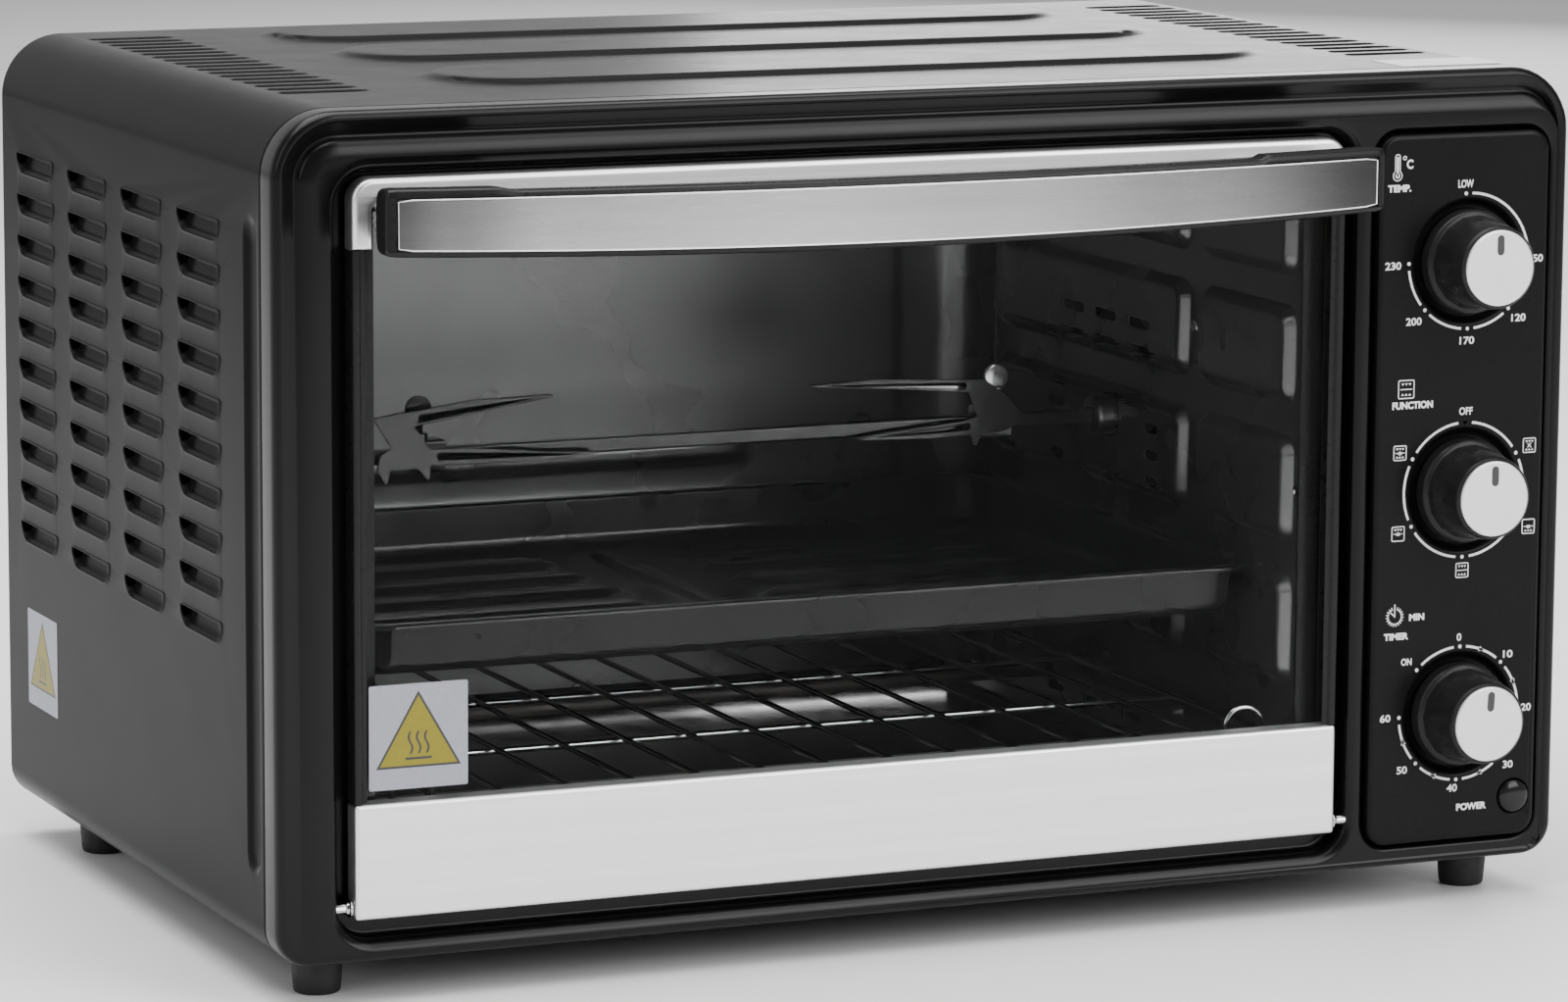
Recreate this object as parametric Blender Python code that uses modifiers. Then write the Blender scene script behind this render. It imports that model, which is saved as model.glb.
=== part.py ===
"""Rotisserie oven: a free-standing countertop convection oven with a drop-down
glass door, three rotary controls, a motor-driven spit, a wire rack and a baking
tray.  Units are metres, +Z up.  The origin is the centre of the footprint, on the
surface that the feet stand on; the door faces -Y and +X is to the user's right.

Dimensions below are in millimetres.  Depths are written from the plane of the
door's front trim (positive to the rear) and shifted by Y_SHIFT.
"""
import math

import bmesh
import bpy
from mathutils import Matrix, Vector

# ------------------------------------------------------------------ dimensions
MM = 0.001
Y_SHIFT = 150.55           # door-trim plane lies this far in front of the origin

BODY_W = 540.0             # casing and bezel width
BODY_Z0 = 16.0             # underside of the casing
BODY_Z1 = 333.0            # top of the casing
CASE_Y0 = 15.8             # front edge of the wrap, behind the bezel
CASE_Y1 = 341.4            # rear edge of the wrap
R_TOP = 25.0               # rounding of the long upper edges
R_BOTTOM = 13.0            # rounding of the long lower edges
SHEET = 1.2                # sheet metal, drawn slightly thick
GAP = 0.3                  # between touching parts

BEZEL_Y0 = 1.5             # front face of the bezel
BEZEL_Y1 = 15.2            # rear edge of its outer flange
RECESS = (-245.5, 175.5, 24.0, 311.0)     # pocket the door closes into
RECESS_Y = 12.0
MOUTH = (-227.5, 157.5, 46.0, 300.0)      # clear opening into the cavity

CAV_X0, CAV_X1 = -229.5, 159.5            # inside faces of the cavity walls
CAV_Y0, CAV_Y1 = 13.8, 314.0
CAV_Z0, CAV_Z1 = 36.0, 306.0
WALL = 1.0

DOOR_X0, DOOR_X1 = -240.0, 170.0
DOOR_Z0, DOOR_Z1 = 32.2, 308.3
DOOR_T = 9.0
TRIM_H = 43.8                             # lower trim height
HINGE_Y, HINGE_Z = 5.0, 36.5

PANEL = (184.5, 260.0, 25.5, 308.5)       # control plate
KNOB_X = 224.5
KNOB_Z = {"temp": 257.8, "function": 166.8, "timer": 76.9}
KNOB_SKIRT_R, KNOB_GRIP_R, KNOB_FACE_R = 20.5, 17.6, 15.6
KNOB_FRONT_Y = -24.6
LAMP = (250.8, 40.8, 6.8)

SPIT_Y, SPIT_Z, SPIT_HALF = 172.0, 177.0, 3.0
FAN_Y, FAN_Z, FAN_R = 180.0, 226.0, 29.0

RACK_Z = 68.5
TRAY_RIM_Z, TRAY_FLOOR_Z = 135.0, 114.0
LEDGE_TOPS = (66.6, 133.6, 188.6)         # rack and tray supports on the walls

ELEMENT_R = 3.4
ELEMENTS = {"upper_element_front": (85.0, 289.0), "upper_element_rear": (245.0, 289.0),
            "lower_element_front": (85.0, 56.0), "lower_element_rear": (245.0, 56.0)}

FOOT_R, FOOT_X = 10.0, 245.0
FOOT_YS = {"front": 30.0, "rear": 293.0}

# ------------------------------------------------------------------ scene setup
for old in list(bpy.data.objects):
    bpy.data.objects.remove(old, do_unlink=True)
scene = bpy.context.scene
PARTS = bpy.data.collections.new("rotisserie_oven")
CUTTERS = bpy.data.collections.new("cutters")
scene.collection.children.link(PARTS)
scene.collection.children.link(CUTTERS)


def material(name, colour, rough, metal=0.0, alpha=1.0):
    m = bpy.data.materials.new(name)
    m.use_nodes = True
    b = m.node_tree.nodes["Principled BSDF"]
    b.inputs["Base Color"].default_value = (*colour, 1.0)
    b.inputs["Roughness"].default_value = rough
    b.inputs["Metallic"].default_value = metal
    b.inputs["Alpha"].default_value = alpha
    return m


PAINT = material("black_satin_paint", (0.025, 0.025, 0.027), 0.38)
PANEL_PAINT = material("panel_black", (0.02, 0.02, 0.02), 0.45)
ENAMEL = material("cavity_enamel", (0.09, 0.09, 0.095), 0.3, 0.6)
SILVER = material("brushed_aluminium", (0.75, 0.75, 0.76), 0.32, 1.0)
CHROME = material("chrome_wire", (0.8, 0.8, 0.82), 0.12, 1.0)
STEEL = material("steel", (0.45, 0.45, 0.46), 0.35, 1.0)
GLASS = material("door_glass", (0.6, 0.62, 0.62), 0.03, 0.0, 0.25)
PLASTIC = material("black_plastic", (0.018, 0.018, 0.019), 0.4)
RUBBER = material("black_rubber", (0.02, 0.02, 0.02), 0.7)
TRAY_ENAMEL = material("tray_enamel", (0.02, 0.02, 0.022), 0.18)
LAMP_LENS = material("lamp_lens", (0.03, 0.02, 0.02), 0.1)


def p(x, y, z):
    return Vector((x * MM, (y - Y_SHIFT) * MM, z * MM))


def finish_object(obj, mat, cutter=False, smooth=False):
    for c in list(obj.users_collection):
        c.objects.unlink(obj)
    (CUTTERS if cutter else PARTS).objects.link(obj)
    if cutter:
        obj.hide_render = True
        obj.display_type = "WIRE"
    else:
        obj.data.materials.clear()
        obj.data.materials.append(mat)
    if smooth:
        obj.data.shade_smooth()
        obj.data.set_sharp_from_angle(angle=math.radians(35))
    return obj


def from_bmesh(name, bm, mat=None, cutter=False, smooth=False, origin=None):
    bmesh.ops.recalc_face_normals(bm, faces=bm.faces)
    if origin is not None:
        bmesh.ops.translate(bm, verts=bm.verts, vec=-origin)
    mesh = bpy.data.meshes.new(name)
    bm.to_mesh(mesh)
    bm.free()
    obj = bpy.data.objects.new(name, mesh)
    scene.collection.objects.link(obj)
    if origin is not None:
        obj.location = origin
    return finish_object(obj, mat, cutter, smooth)


def box_bm(x0, x1, y0, y1, z0, z1):
    bm = bmesh.new()
    bmesh.ops.create_cube(bm, size=1.0)
    size = Vector((x1 - x0, y1 - y0, z1 - z0)) * MM
    for v in bm.verts:
        v.co = Vector((v.co.x * size.x, v.co.y * size.y, v.co.z * size.z))
    bmesh.ops.translate(bm, verts=bm.verts, vec=p((x0 + x1) / 2, (y0 + y1) / 2, (z0 + z1) / 2))
    return bm


def box(name, x0, x1, y0, y1, z0, z1, mat=None, cutter=False, round_axis=None, radius=0.0, seg=3, origin=None,
        which=None):
    """Box between two corners; edges along round_axis are rounded by radius (or by which(point) -> radius)."""
    bm = box_bm(x0, x1, y0, y1, z0, z1)
    if round_axis is not None:
        axis = "XYZ".index(round_axis)
        groups = {}
        for e in bm.edges:
            d = e.verts[0].co - e.verts[1].co
            if abs(d[axis]) > 1e-9 and abs(d[(axis + 1) % 3]) < 1e-9 and abs(d[(axis + 2) % 3]) < 1e-9:
                r = which(e.verts[0].co / MM) if which else radius
                if r:
                    groups.setdefault(r, []).append(e)
        for r, edges in groups.items():
            edges = [e for e in edges if e.is_valid]
            bmesh.ops.bevel(bm, geom=edges, offset=r * MM, offset_type="OFFSET", segments=seg,
                            profile=0.5, affect="EDGES", clamp_overlap=False)
    return from_bmesh(name, bm, mat, cutter, False, origin)


def cylinder(name, centre, axis, radius, length, mat=None, cutter=False, seg=20, radius2=None, origin=None, smooth=True):
    bm = bmesh.new()
    bmesh.ops.create_cone(bm, cap_ends=True, cap_tris=False, segments=seg, radius1=radius * MM,
                          radius2=(radius if radius2 is None else radius2) * MM, depth=length * MM)
    turn = Vector((0, 0, 1)).rotation_difference(Vector(axis)).to_matrix().to_4x4()
    bmesh.ops.transform(bm, matrix=Matrix.Translation(centre) @ turn, verts=bm.verts)
    return from_bmesh(name, bm, mat, cutter, smooth and not cutter, origin)


def boolean(obj, other, operation="DIFFERENCE"):
    m = obj.modifiers.new(f"{operation.lower()}_{len(obj.modifiers)}", "BOOLEAN")
    m.operation = operation
    m.solver = "EXACT"
    m.object = other
    return m


def turned(name, profile, centre, axis, mat, steps=24, origin=None):
    """Closed body turned about axis through centre. profile: (radius, distance along axis) from the
    far end on the axis round the outside to the near end on the axis."""
    bm = bmesh.new()
    verts = [bm.verts.new((r * MM, 0, a * MM)) for r, a in profile]
    for a, b in zip(verts, verts[1:]):
        bm.edges.new((a, b))
    mesh = bpy.data.meshes.new(name)
    bm.to_mesh(mesh)
    bm.free()
    obj = bpy.data.objects.new(name, mesh)
    scene.collection.objects.link(obj)
    s = obj.modifiers.new("turn", "SCREW")
    s.axis = "Z"
    s.steps = s.render_steps = steps
    s.use_merge_vertices = True
    s.merge_threshold = 0.00005
    obj.rotation_mode = "QUATERNION"
    obj.rotation_quaternion = Vector((0, 0, 1)).rotation_difference(Vector(axis))
    obj.location = centre
    obj.data.materials.append(mat)
    finish_object(obj, mat)
    return obj


def sweep(name, points, radius, mat, res=2):
    """Round bar through points (in metres)."""
    c = bpy.data.curves.new(name, "CURVE")
    c.dimensions = "3D"
    c.bevel_depth = radius * MM
    c.bevel_resolution = res
    c.use_fill_caps = True
    s = c.splines.new("POLY")
    s.points.add(len(points) - 1)
    for q, v in zip(s.points, points):
        q.co = (*v, 1.0)
    obj = bpy.data.objects.new(name, c)
    scene.collection.objects.link(obj)
    return finish_object(obj, mat)


def section_loop(x0, x1, z0, z1, r_top, r_bot, n):
    """Outline of the housing in the XZ plane, anticlockwise from the lower right."""
    pts = []
    for cx, cz, r, a0 in ((x1 - r_bot, z0 + r_bot, r_bot, -90), (x1 - r_top, z1 - r_top, r_top, 0),
                          (x0 + r_top, z1 - r_top, r_top, 90), (x0 + r_bot, z0 + r_bot, r_bot, 180)):
        for k in range(n + 1):
            a = math.radians(a0 + 90 * k / n)
            pts.append((cx + r * math.cos(a), cz + r * math.sin(a)))
    return pts


def prism(name, outline, y0, y1, mat=None, cutter=False):
    """Solid whose XZ outline is extruded between two depths."""
    bm = bmesh.new()
    face = bm.faces.new([bm.verts.new(p(x, y0, z)) for x, z in outline])
    made = bmesh.ops.extrude_face_region(bm, geom=[face])
    bmesh.ops.translate(bm, verts=[g for g in made["geom"] if isinstance(g, bmesh.types.BMVert)],
                        vec=Vector((0, (y1 - y0) * MM, 0)))
    return from_bmesh(name, bm, mat, cutter)


HALF = BODY_W / 2

# ------------------------------------------------------------------ outer casing
# The wrap is one bent sheet: roof, both sides and an inward lip along each lower edge.
LIP = 38.0


def wrap_profile():
    outer = section_loop(-HALF, HALF, BODY_Z0, BODY_Z1, R_TOP, R_BOTTOM, 5)
    inner = section_loop(-HALF + SHEET, HALF - SHEET, BODY_Z0 + SHEET, BODY_Z1 - SHEET,
                         R_TOP - SHEET, R_BOTTOM - SHEET, 5)
    lip_r, lip_l = HALF - LIP, -HALF + LIP
    return ([(lip_r, BODY_Z0)] + outer + [(lip_l, BODY_Z0), (lip_l, BODY_Z0 + SHEET)]
            + inner[::-1] + [(lip_r, BODY_Z0 + SHEET)])


prism("casing_wrap", wrap_profile(), CASE_Y0, CASE_Y1, PAINT)

box("base_plate", -HALF + 18, HALF - 18, 18.0, 337.0, BODY_Z0 + SHEET + GAP, BODY_Z0 + 2 * SHEET + GAP, PAINT)

rear = prism("rear_panel", section_loop(-HALF + SHEET + 0.4, HALF - SHEET - 0.4, BODY_Z0 + 2 * SHEET + 0.9,
                                        BODY_Z1 - SHEET - 0.4, R_TOP - SHEET, R_BOTTOM - SHEET, 4),
             338.6, 339.8, PAINT)
boolean(rear, box("cut_crumb_slot_rear", -229.5, 159.5, 330, 345, 34.5, 48.0, cutter=True))
boolean(rear, cylinder("cut_gland", p(205, 339, 60), (0, 1, 0), 7.5, 12, cutter=True, seg=16))

for side, sx in (("left", -1), ("right", 1)):
    for row, fy in FOOT_YS.items():
        turned(f"foot_{row}_{side}",
               [(0, 15.7), (FOOT_R, 15.7), (FOOT_R - 1.2, 1.2), (FOOT_R - 2.2, 0), (0, 0)],
               p(sx * FOOT_X, fy, 0), (0, 0, 1), RUBBER, steps=20)

# Cord gland in the rear panel; the cord itself isn't modelled.
gland = turned("cord_gland", [(0, 9.2), (5.5, 9.2), (7.0, 3.0), (10.0, 2.4), (10.0, 0.2), (6.9, 0.2), (6.9, -3.4), (0, -3.4)],
               p(205, 339.8 + GAP, 60), (0, 1, 0), RUBBER, steps=16)
boolean(gland, cylinder("cut_gland_bore", p(205, 345, 60), (0, 1, 0), 3.6, 10, cutter=True, seg=12))

# ------------------------------------------------------------------ front bezel
# Pressed sheet with a return flange, a pocket for the door and the cavity mouth.
bezel = prism("front_bezel", section_loop(-HALF, HALF, BODY_Z0, BODY_Z1, R_TOP, R_BOTTOM, 5), BEZEL_Y0, BEZEL_Y1, PAINT)
boolean(bezel, prism("cut_bezel_hollow", section_loop(-HALF + SHEET, HALF - SHEET, BODY_Z0 + SHEET, BODY_Z1 - SHEET,
                                                      R_TOP - SHEET, R_BOTTOM - SHEET, 5), BEZEL_Y0 + SHEET, 20, cutter=True))
x0, x1, z0, z1 = RECESS
boolean(bezel, box("add_recess_pan", x0 - SHEET, x1 + SHEET, BEZEL_Y0 + 0.1, RECESS_Y + SHEET, z0 - SHEET, z1 + SHEET,
                   cutter=True, round_axis="Y", radius=9.0, seg=3), "UNION")
boolean(bezel, box("cut_recess", x0, x1, -5, RECESS_Y, z0, z1, cutter=True, round_axis="Y", radius=8.0, seg=3))
x0, x1, z0, z1 = MOUTH
boolean(bezel, box("cut_mouth", x0, x1, 5, 20, z0, z1, cutter=True, round_axis="Y", radius=6.0, seg=2))
for key, kz in KNOB_Z.items():
    boolean(bezel, cylinder(f"cut_bezel_{key}", p(KNOB_X, 4, kz), (0, 1, 0), 5.2, 12, cutter=True, seg=12))
boolean(bezel, cylinder("cut_bezel_lamp", p(LAMP[0], 4, LAMP[1]), (0, 1, 0), 5.4, 12, cutter=True, seg=12))
for hx in (RECESS[0], RECESS[1]):
    boolean(bezel, cylinder(f"cut_hinge_{'l' if hx < 0 else 'r'}", p(hx, HINGE_Y, HINGE_Z), (1, 0, 0), 2.6, 6, cutter=True, seg=12))

x0, x1, z0, z1 = PANEL
panel = box("control_panel", x0, x1, -0.8, BEZEL_Y0 - GAP, z0, z1, PANEL_PAINT, round_axis="Y", radius=7.0, seg=4)
for key, kz in KNOB_Z.items():
    boolean(panel, cylinder(f"cut_panel_{key}", p(KNOB_X, 0, kz), (0, 1, 0), 5.2, 6, cutter=True, seg=12))
boolean(panel, cylinder("cut_panel_lamp", p(LAMP[0], 0, LAMP[1]), (0, 1, 0), 5.4, 6, cutter=True, seg=12))
turned("power_lamp", [(0, 9.0), (4.9, 9.0), (4.9, -1.2), (LAMP[2], -1.2), (LAMP[2], -2.2), (LAMP[2] - 1.4, -3.0), (0, -3.6)],
       p(LAMP[0], 0, LAMP[1]), (0, 1, 0), LAMP_LENS, steps=20)

# ------------------------------------------------------------------ cavity
def side_wall(name, x_in, outward):
    """Flat wall with three ledges that carry the rack and the tray."""
    xa, xb = sorted((x_in, x_in + outward * WALL))
    wall = box(name, xa, xb, CAV_Y0, CAV_Y1, CAV_Z0, CAV_Z1, ENAMEL)
    for k, top in enumerate(LEDGE_TOPS):
        la, lb = sorted((x_in + outward * 0.5, x_in - outward * 5.0))
        boolean(wall, box(f"add_{name}_ledge_{k}", la, lb, 20.0, 286.0, top - 3.0, top, cutter=True), "UNION")
    for key, (ey, ez) in ELEMENTS.items():
        boolean(wall, cylinder(f"cut_{name}_{key}", p(x_in, ey, ez), (1, 0, 0), ELEMENT_R + 0.9, 12, cutter=True, seg=8))
    return wall


side_wall("cavity_left_wall", CAV_X0, -1)
right_wall = side_wall("cavity_right_wall", CAV_X1, 1)
boolean(right_wall, cylinder("cut_socket_hole", p(CAV_X1, SPIT_Y, SPIT_Z), (1, 0, 0), 9.6, 12, cutter=True, seg=20))
for k, (vy, vz) in enumerate([(y, z) for z in (206.4, 217.6) for y in (149.0, 180.0, 210.0)]
                             + [(136.5, 175.5), (136.5, 164.5), (136.5, 153.5)]):
    half = 10.0 if k < 6 else 6.0
    boolean(right_wall, box(f"cut_vent_{k}", CAV_X1 - 3, CAV_X1 + 4, vy - half, vy + half, vz - 2.0, vz + 2.0, cutter=True))

box("cavity_roof", CAV_X0, CAV_X1, CAV_Y0, CAV_Y1, CAV_Z1 + GAP, CAV_Z1 + GAP + WALL, ENAMEL)
box("cavity_floor", CAV_X0 + GAP, CAV_X1 - GAP, CAV_Y0, CAV_Y1, CAV_Z0 - WALL, CAV_Z0, ENAMEL)


def rear_wall_profile():
    """Plan outline (X, Y) of the back sheet: its vertical corners are rounded forward."""
    r, n = 20.0, 4
    outer, inner = [], []
    ya = CAV_Y1 + GAP + WALL
    for lst, off in ((outer, 0.0), (inner, WALL)):
        xl, xr, yb = CAV_X0 + GAP + off, CAV_X1 - GAP - off, ya - off
        rr = r - off
        lst.append((xr, yb - r - 2 + off))
        for k in range(n + 1):
            a = math.radians(90 * k / n)
            lst.append((xr - rr + rr * math.cos(a), yb - rr + rr * math.sin(a)))
        for k in range(n + 1):
            a = math.radians(90 + 90 * k / n)
            lst.append((xl + rr + rr * math.cos(a), yb - rr + rr * math.sin(a)))
        lst.append((xl, yb - r - 2 + off))
    return outer + inner[::-1]


bm = bmesh.new()
face = bm.faces.new([bm.verts.new(p(x, y, 49.0)) for x, y in rear_wall_profile()])
made = bmesh.ops.extrude_face_region(bm, geom=[face])
bmesh.ops.translate(bm, verts=[g for g in made["geom"] if isinstance(g, bmesh.types.BMVert)],
                    vec=Vector((0, 0, (CAV_Z1 - GAP - 49.0) * MM)))
from_bmesh("cavity_rear_wall", bm, ENAMEL)

for key, (ey, ez) in ELEMENTS.items():
    sweep(key, [p(CAV_X0 - 12, ey, ez), p(CAV_X1 + 12, ey, ez)], ELEMENT_R, STEEL, res=2)

# Left spit bearing: an open bracket that the round end of the spit drops into.
support = box("spit_support", CAV_X0 + GAP, CAV_X0 + 9.0, SPIT_Y - 9, SPIT_Y + 9, SPIT_Z - 14, SPIT_Z + 3, STEEL)
boolean(support, box("cut_support_slot", CAV_X0 + 2.0, CAV_X0 + 20, SPIT_Y - 3.6, SPIT_Y + 3.6, SPIT_Z - 3.6, SPIT_Z + 20, cutter=True))

# ------------------------------------------------------------------ door
door_x = (DOOR_X0, DOOR_X1)


def top_radius(co):
    return 8.0 if co.z > 150 else 0.0


top = box("door_top_trim", DOOR_X0, DOOR_X1, 0, DOOR_T, 282.0, DOOR_Z1, SILVER, round_axis="Y", seg=4, which=top_radius)
boolean(top, box("cut_top_hollow", DOOR_X0 + 1, DOOR_X1 - 1, 1, DOOR_T - 1, 270, DOOR_Z1 - 1, cutter=True,
                 round_axis="Y", seg=4, which=lambda co: 7.0 if co.z > 290 else 0.0))
boolean(top, box("cut_top_window", DOOR_X0 + 8, DOOR_X1 - 8, -3, DOOR_T + 3, 270, 297.7, cutter=True))

low = box("door_bottom_trim", DOOR_X0, DOOR_X1, 0, DOOR_T, DOOR_Z0, DOOR_Z0 + TRIM_H, SILVER)
boolean(low, box("cut_low_hollow", DOOR_X0 + 1, DOOR_X1 - 1, 1, DOOR_T - 1, DOOR_Z0 + 1, DOOR_Z0 + TRIM_H + 3, cutter=True))

box("door_glass", DOOR_X0 + 2.0, DOOR_X1 - 2.0, 2.5, 6.5, DOOR_Z0 + 1.4, DOOR_Z1 - 5.0, GLASS,
    round_axis="Y", seg=3, which=lambda co: 6.0 if co.z > 200 else 0.0)

for side, xa, xb in (("left", DOOR_X0, DOOR_X0 + 5.5), ("right", DOOR_X1 - 5.5, DOOR_X1)):
    rail = box(f"door_{side}_rail", xa, xb, 0.6, DOOR_T, DOOR_Z0 + TRIM_H + 0.4, 281.6, PLASTIC)
    ca, cb = (xa + 1.3, xb + 3) if side == "left" else (xa - 3, xb - 1.3)
    boolean(rail, box(f"cut_{side}_rail", ca, cb, 2.1, 6.9, 60, 300, cutter=True))

for side, xa, xb in (("left", -252.0, -240.3), ("right", 170.3, 182.0)):
    cylinder(f"hinge_pin_{side}", p((xa + xb) / 2, HINGE_Y, HINGE_Z), (1, 0, 0), 2.0, xb - xa, CHROME, seg=12)

# Handle: a bowed bar with a foot at each end and a silver inlay along its face.
H_X0, H_X1 = -237.0, 167.0
H_MID = (H_X0 + H_X1) / 2


def bow(x):
    t = (x - H_MID) / (H_X1 - H_MID)
    return 1.0 - t * t


def handle_y(x):
    return -34.0 - 14.0 * bow(x)


def bar_bm(xa, xb, n, y_off, thick, half_end, half_mid):
    bm = bmesh.new()
    rings = []
    for k in range(n + 1):
        x = xa + (xb - xa) * k / n
        b = bow(x)
        yc, zc = handle_y(x) + y_off, 295.0 - 2.0 * b
        h = half_end + (half_mid - half_end) * b
        c = min(1.5, thick / 3)
        prof = [(0, -h + c), (0, h - c), (c, h), (thick - c, h), (thick, h - c), (thick, -h + c), (thick - c, -h), (c, -h)]
        rings.append([bm.verts.new(p(x, yc + a, zc + z)) for a, z in prof])
    for a, b in zip(rings, rings[1:]):
        for i in range(8):
            j = (i + 1) % 8
            bm.faces.new((a[i], a[j], b[j], b[i]))
    bm.faces.new(rings[0])
    bm.faces.new(rings[-1][::-1])
    return bm


handle = from_bmesh("handle_bar", bar_bm(H_X0, H_X1, 14, 0.0, 12.0, 11.6, 12.6), PLASTIC)
for side, xa, xb in (("left", H_X0 + 1.5, H_X0 + 40), ("right", H_X1 - 40, H_X1 - 1.5)):
    boolean(handle, box(f"add_handle_foot_{side}", xa, xb, -28.0, -GAP, 286.0, 301.0, cutter=True), "UNION")
boolean(handle, from_bmesh("cut_handle_inlay", bar_bm(H_X0 + 3.2, H_X1 - 3.2, 14, -2.0, 3.4, 9.7, 11.1), cutter=True))
from_bmesh("handle_inlay", bar_bm(H_X0 + 3.6, H_X1 - 3.6, 14, -0.2, 1.2, 9.3, 10.7), SILVER)

# ------------------------------------------------------------------ controls
for key, kz in KNOB_Z.items():
    axis_point = p(KNOB_X, 0, kz)
    knob = turned(f"{key}_knob",
                  [(0, -1.6), (KNOB_SKIRT_R, -1.6), (KNOB_SKIRT_R, -4.6), (KNOB_GRIP_R + 0.4, -6.4),
                   (KNOB_FACE_R + 0.6, KNOB_FRONT_Y + 1.2), (KNOB_FACE_R - 0.2, KNOB_FRONT_Y + 0.2), (0, KNOB_FRONT_Y + 0.2)],
                  axis_point, (0, 1, 0), PLASTIC, steps=28)
    boolean(knob, cylinder(f"cut_{key}_knob_bore", axis_point + Vector((0, -7.0 * MM, 0)), (0, 1, 0), 3.4, 16, cutter=True, seg=12))
    turned(f"{key}_knob_cap", [(0, KNOB_FRONT_Y - 0.1), (KNOB_FACE_R - 0.4, KNOB_FRONT_Y - 0.1),
                               (KNOB_FACE_R - 0.4, KNOB_FRONT_Y - 0.7), (KNOB_FACE_R - 1.0, KNOB_FRONT_Y - 1.0), (0, KNOB_FRONT_Y - 1.0)],
           axis_point, (0, 1, 0), SILVER, steps=28)
    cylinder(f"{key}_shaft", axis_point + Vector((0, 1.0 * MM, 0)), (0, 1, 0), 3.0, 28.0, STEEL, seg=12, origin=axis_point)

for key, name, dx, dz, depth in (("temp", "thermostat", 17, 20, 34), ("function", "selector_switch", 19, 19, 38),
                                 ("timer", "timer_mechanism", 24, 26, 46)):
    kz = KNOB_Z[key]
    box(name, KNOB_X - dx, KNOB_X + dx, 15.6, 15.6 + depth, kz - dz, kz + dz, STEEL, round_axis="Y", radius=4.0, seg=2)

# ------------------------------------------------------------------ rotisserie
spit = box("spit_rod", -219.6, 156.5, SPIT_Y - SPIT_HALF, SPIT_Y + SPIT_HALF, SPIT_Z - SPIT_HALF, SPIT_Z + SPIT_HALF,
           CHROME, round_axis="X", radius=0.6, seg=1, origin=p(0, SPIT_Y, SPIT_Z))
boolean(spit, cylinder("add_spit_end", p(-222.5, SPIT_Y, SPIT_Z), (1, 0, 0), 2.5, 7.0, cutter=True, seg=12), "UNION")

socket = cylinder("drive_socket", p(158.5, SPIT_Y, SPIT_Z), (1, 0, 0), 8.2, 27.0, STEEL, seg=20, origin=p(0, SPIT_Y, SPIT_Z))
boolean(socket, box("cut_socket_square", 130.0, 158.0, SPIT_Y - 3.5, SPIT_Y + 3.5, SPIT_Z - 3.5, SPIT_Z + 3.5, cutter=True))

box("rotisserie_motor", 173.0, 205.0, SPIT_Y - 25, SPIT_Y + 25, 150.0, 203.0, STEEL, round_axis="X", radius=5.0, seg=2)

FORK_SPREAD = 19.0
SCREW_BACK = 2.5           # thumb screw axis, behind the hub's middle
FORK_TILT = math.radians(20)


def fork(name, hub_x, sign):
    """Two-tine meat fork: square-bored hub, cross bar and tapered tines pointing along sign."""
    o = p(hub_x, SPIT_Y, SPIT_Z)
    hub = box(name, hub_x - 7, hub_x + 7, SPIT_Y - 6.5, SPIT_Y + 6.5, SPIT_Z - 6.5, SPIT_Z + 6.5, CHROME, origin=o)
    turn = Matrix.Translation(o) @ Matrix.Rotation(FORK_TILT, 4, "X") @ Matrix.Translation(-o)
    ba, bb = sorted((hub_x + sign * 4.0, hub_x + sign * 6.5))
    bm = box_bm(ba, bb, SPIT_Y - 5.5, SPIT_Y + 5.5, SPIT_Z - FORK_SPREAD - 2.5, SPIT_Z + FORK_SPREAD + 2.5)
    bmesh.ops.transform(bm, matrix=turn, verts=bm.verts)
    boolean(hub, from_bmesh(f"add_{name}_bar", bm, cutter=True), "UNION")
    for k, s in enumerate((-1, 1)):
        c = p(hub_x + sign * 39.6, SPIT_Y, SPIT_Z + s * FORK_SPREAD)
        bm = bmesh.new()
        bmesh.ops.create_cone(bm, cap_ends=True, segments=6, radius1=2.4 * MM, radius2=0.4 * MM, depth=70 * MM)
        rot = Vector((0, 0, 1)).rotation_difference(Vector((sign, 0, 0))).to_matrix().to_4x4()
        bmesh.ops.transform(bm, matrix=turn @ Matrix.Translation(c) @ rot, verts=bm.verts)
        boolean(hub, from_bmesh(f"add_{name}_tine_{k}", bm, cutter=True), "UNION")
    boolean(hub, box(f"cut_{name}_bore", hub_x - 15, hub_x + 15, SPIT_Y - 3.4, SPIT_Y + 3.4, SPIT_Z - 3.4, SPIT_Z + 3.4, cutter=True))
    boolean(hub, cylinder(f"cut_{name}_thread", p(hub_x - sign * SCREW_BACK, SPIT_Y, SPIT_Z + 8), (0, 0, 1), 2.3, 12, cutter=True, seg=12))
    return hub


def thumb_screw(name, x):
    base = p(x, SPIT_Y, SPIT_Z)
    s = turned(name, [(0, 14.0), (2.0, 14.0), (2.0, 3.7), (0, 3.7)], base, (0, 0, 1), CHROME, steps=12)
    boolean(s, cylinder(f"add_{name}_head", p(x, SPIT_Y, SPIT_Z + 18.2), (0, 1, 0), 5.6, 1.8, cutter=True, seg=20), "UNION")
    return s


FORK_L, FORK_R = -149.0, 99.0
# The cross bar sits on the tine side of each hub's screw, so the screw clears it.
left_fork = fork("fork_left", FORK_L, 1)
right_fork = fork("fork_right", FORK_R, -1)
thumb_screw("thumb_screw_left", FORK_L - SCREW_BACK)
thumb_screw("thumb_screw_right", FORK_R + SCREW_BACK)

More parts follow.
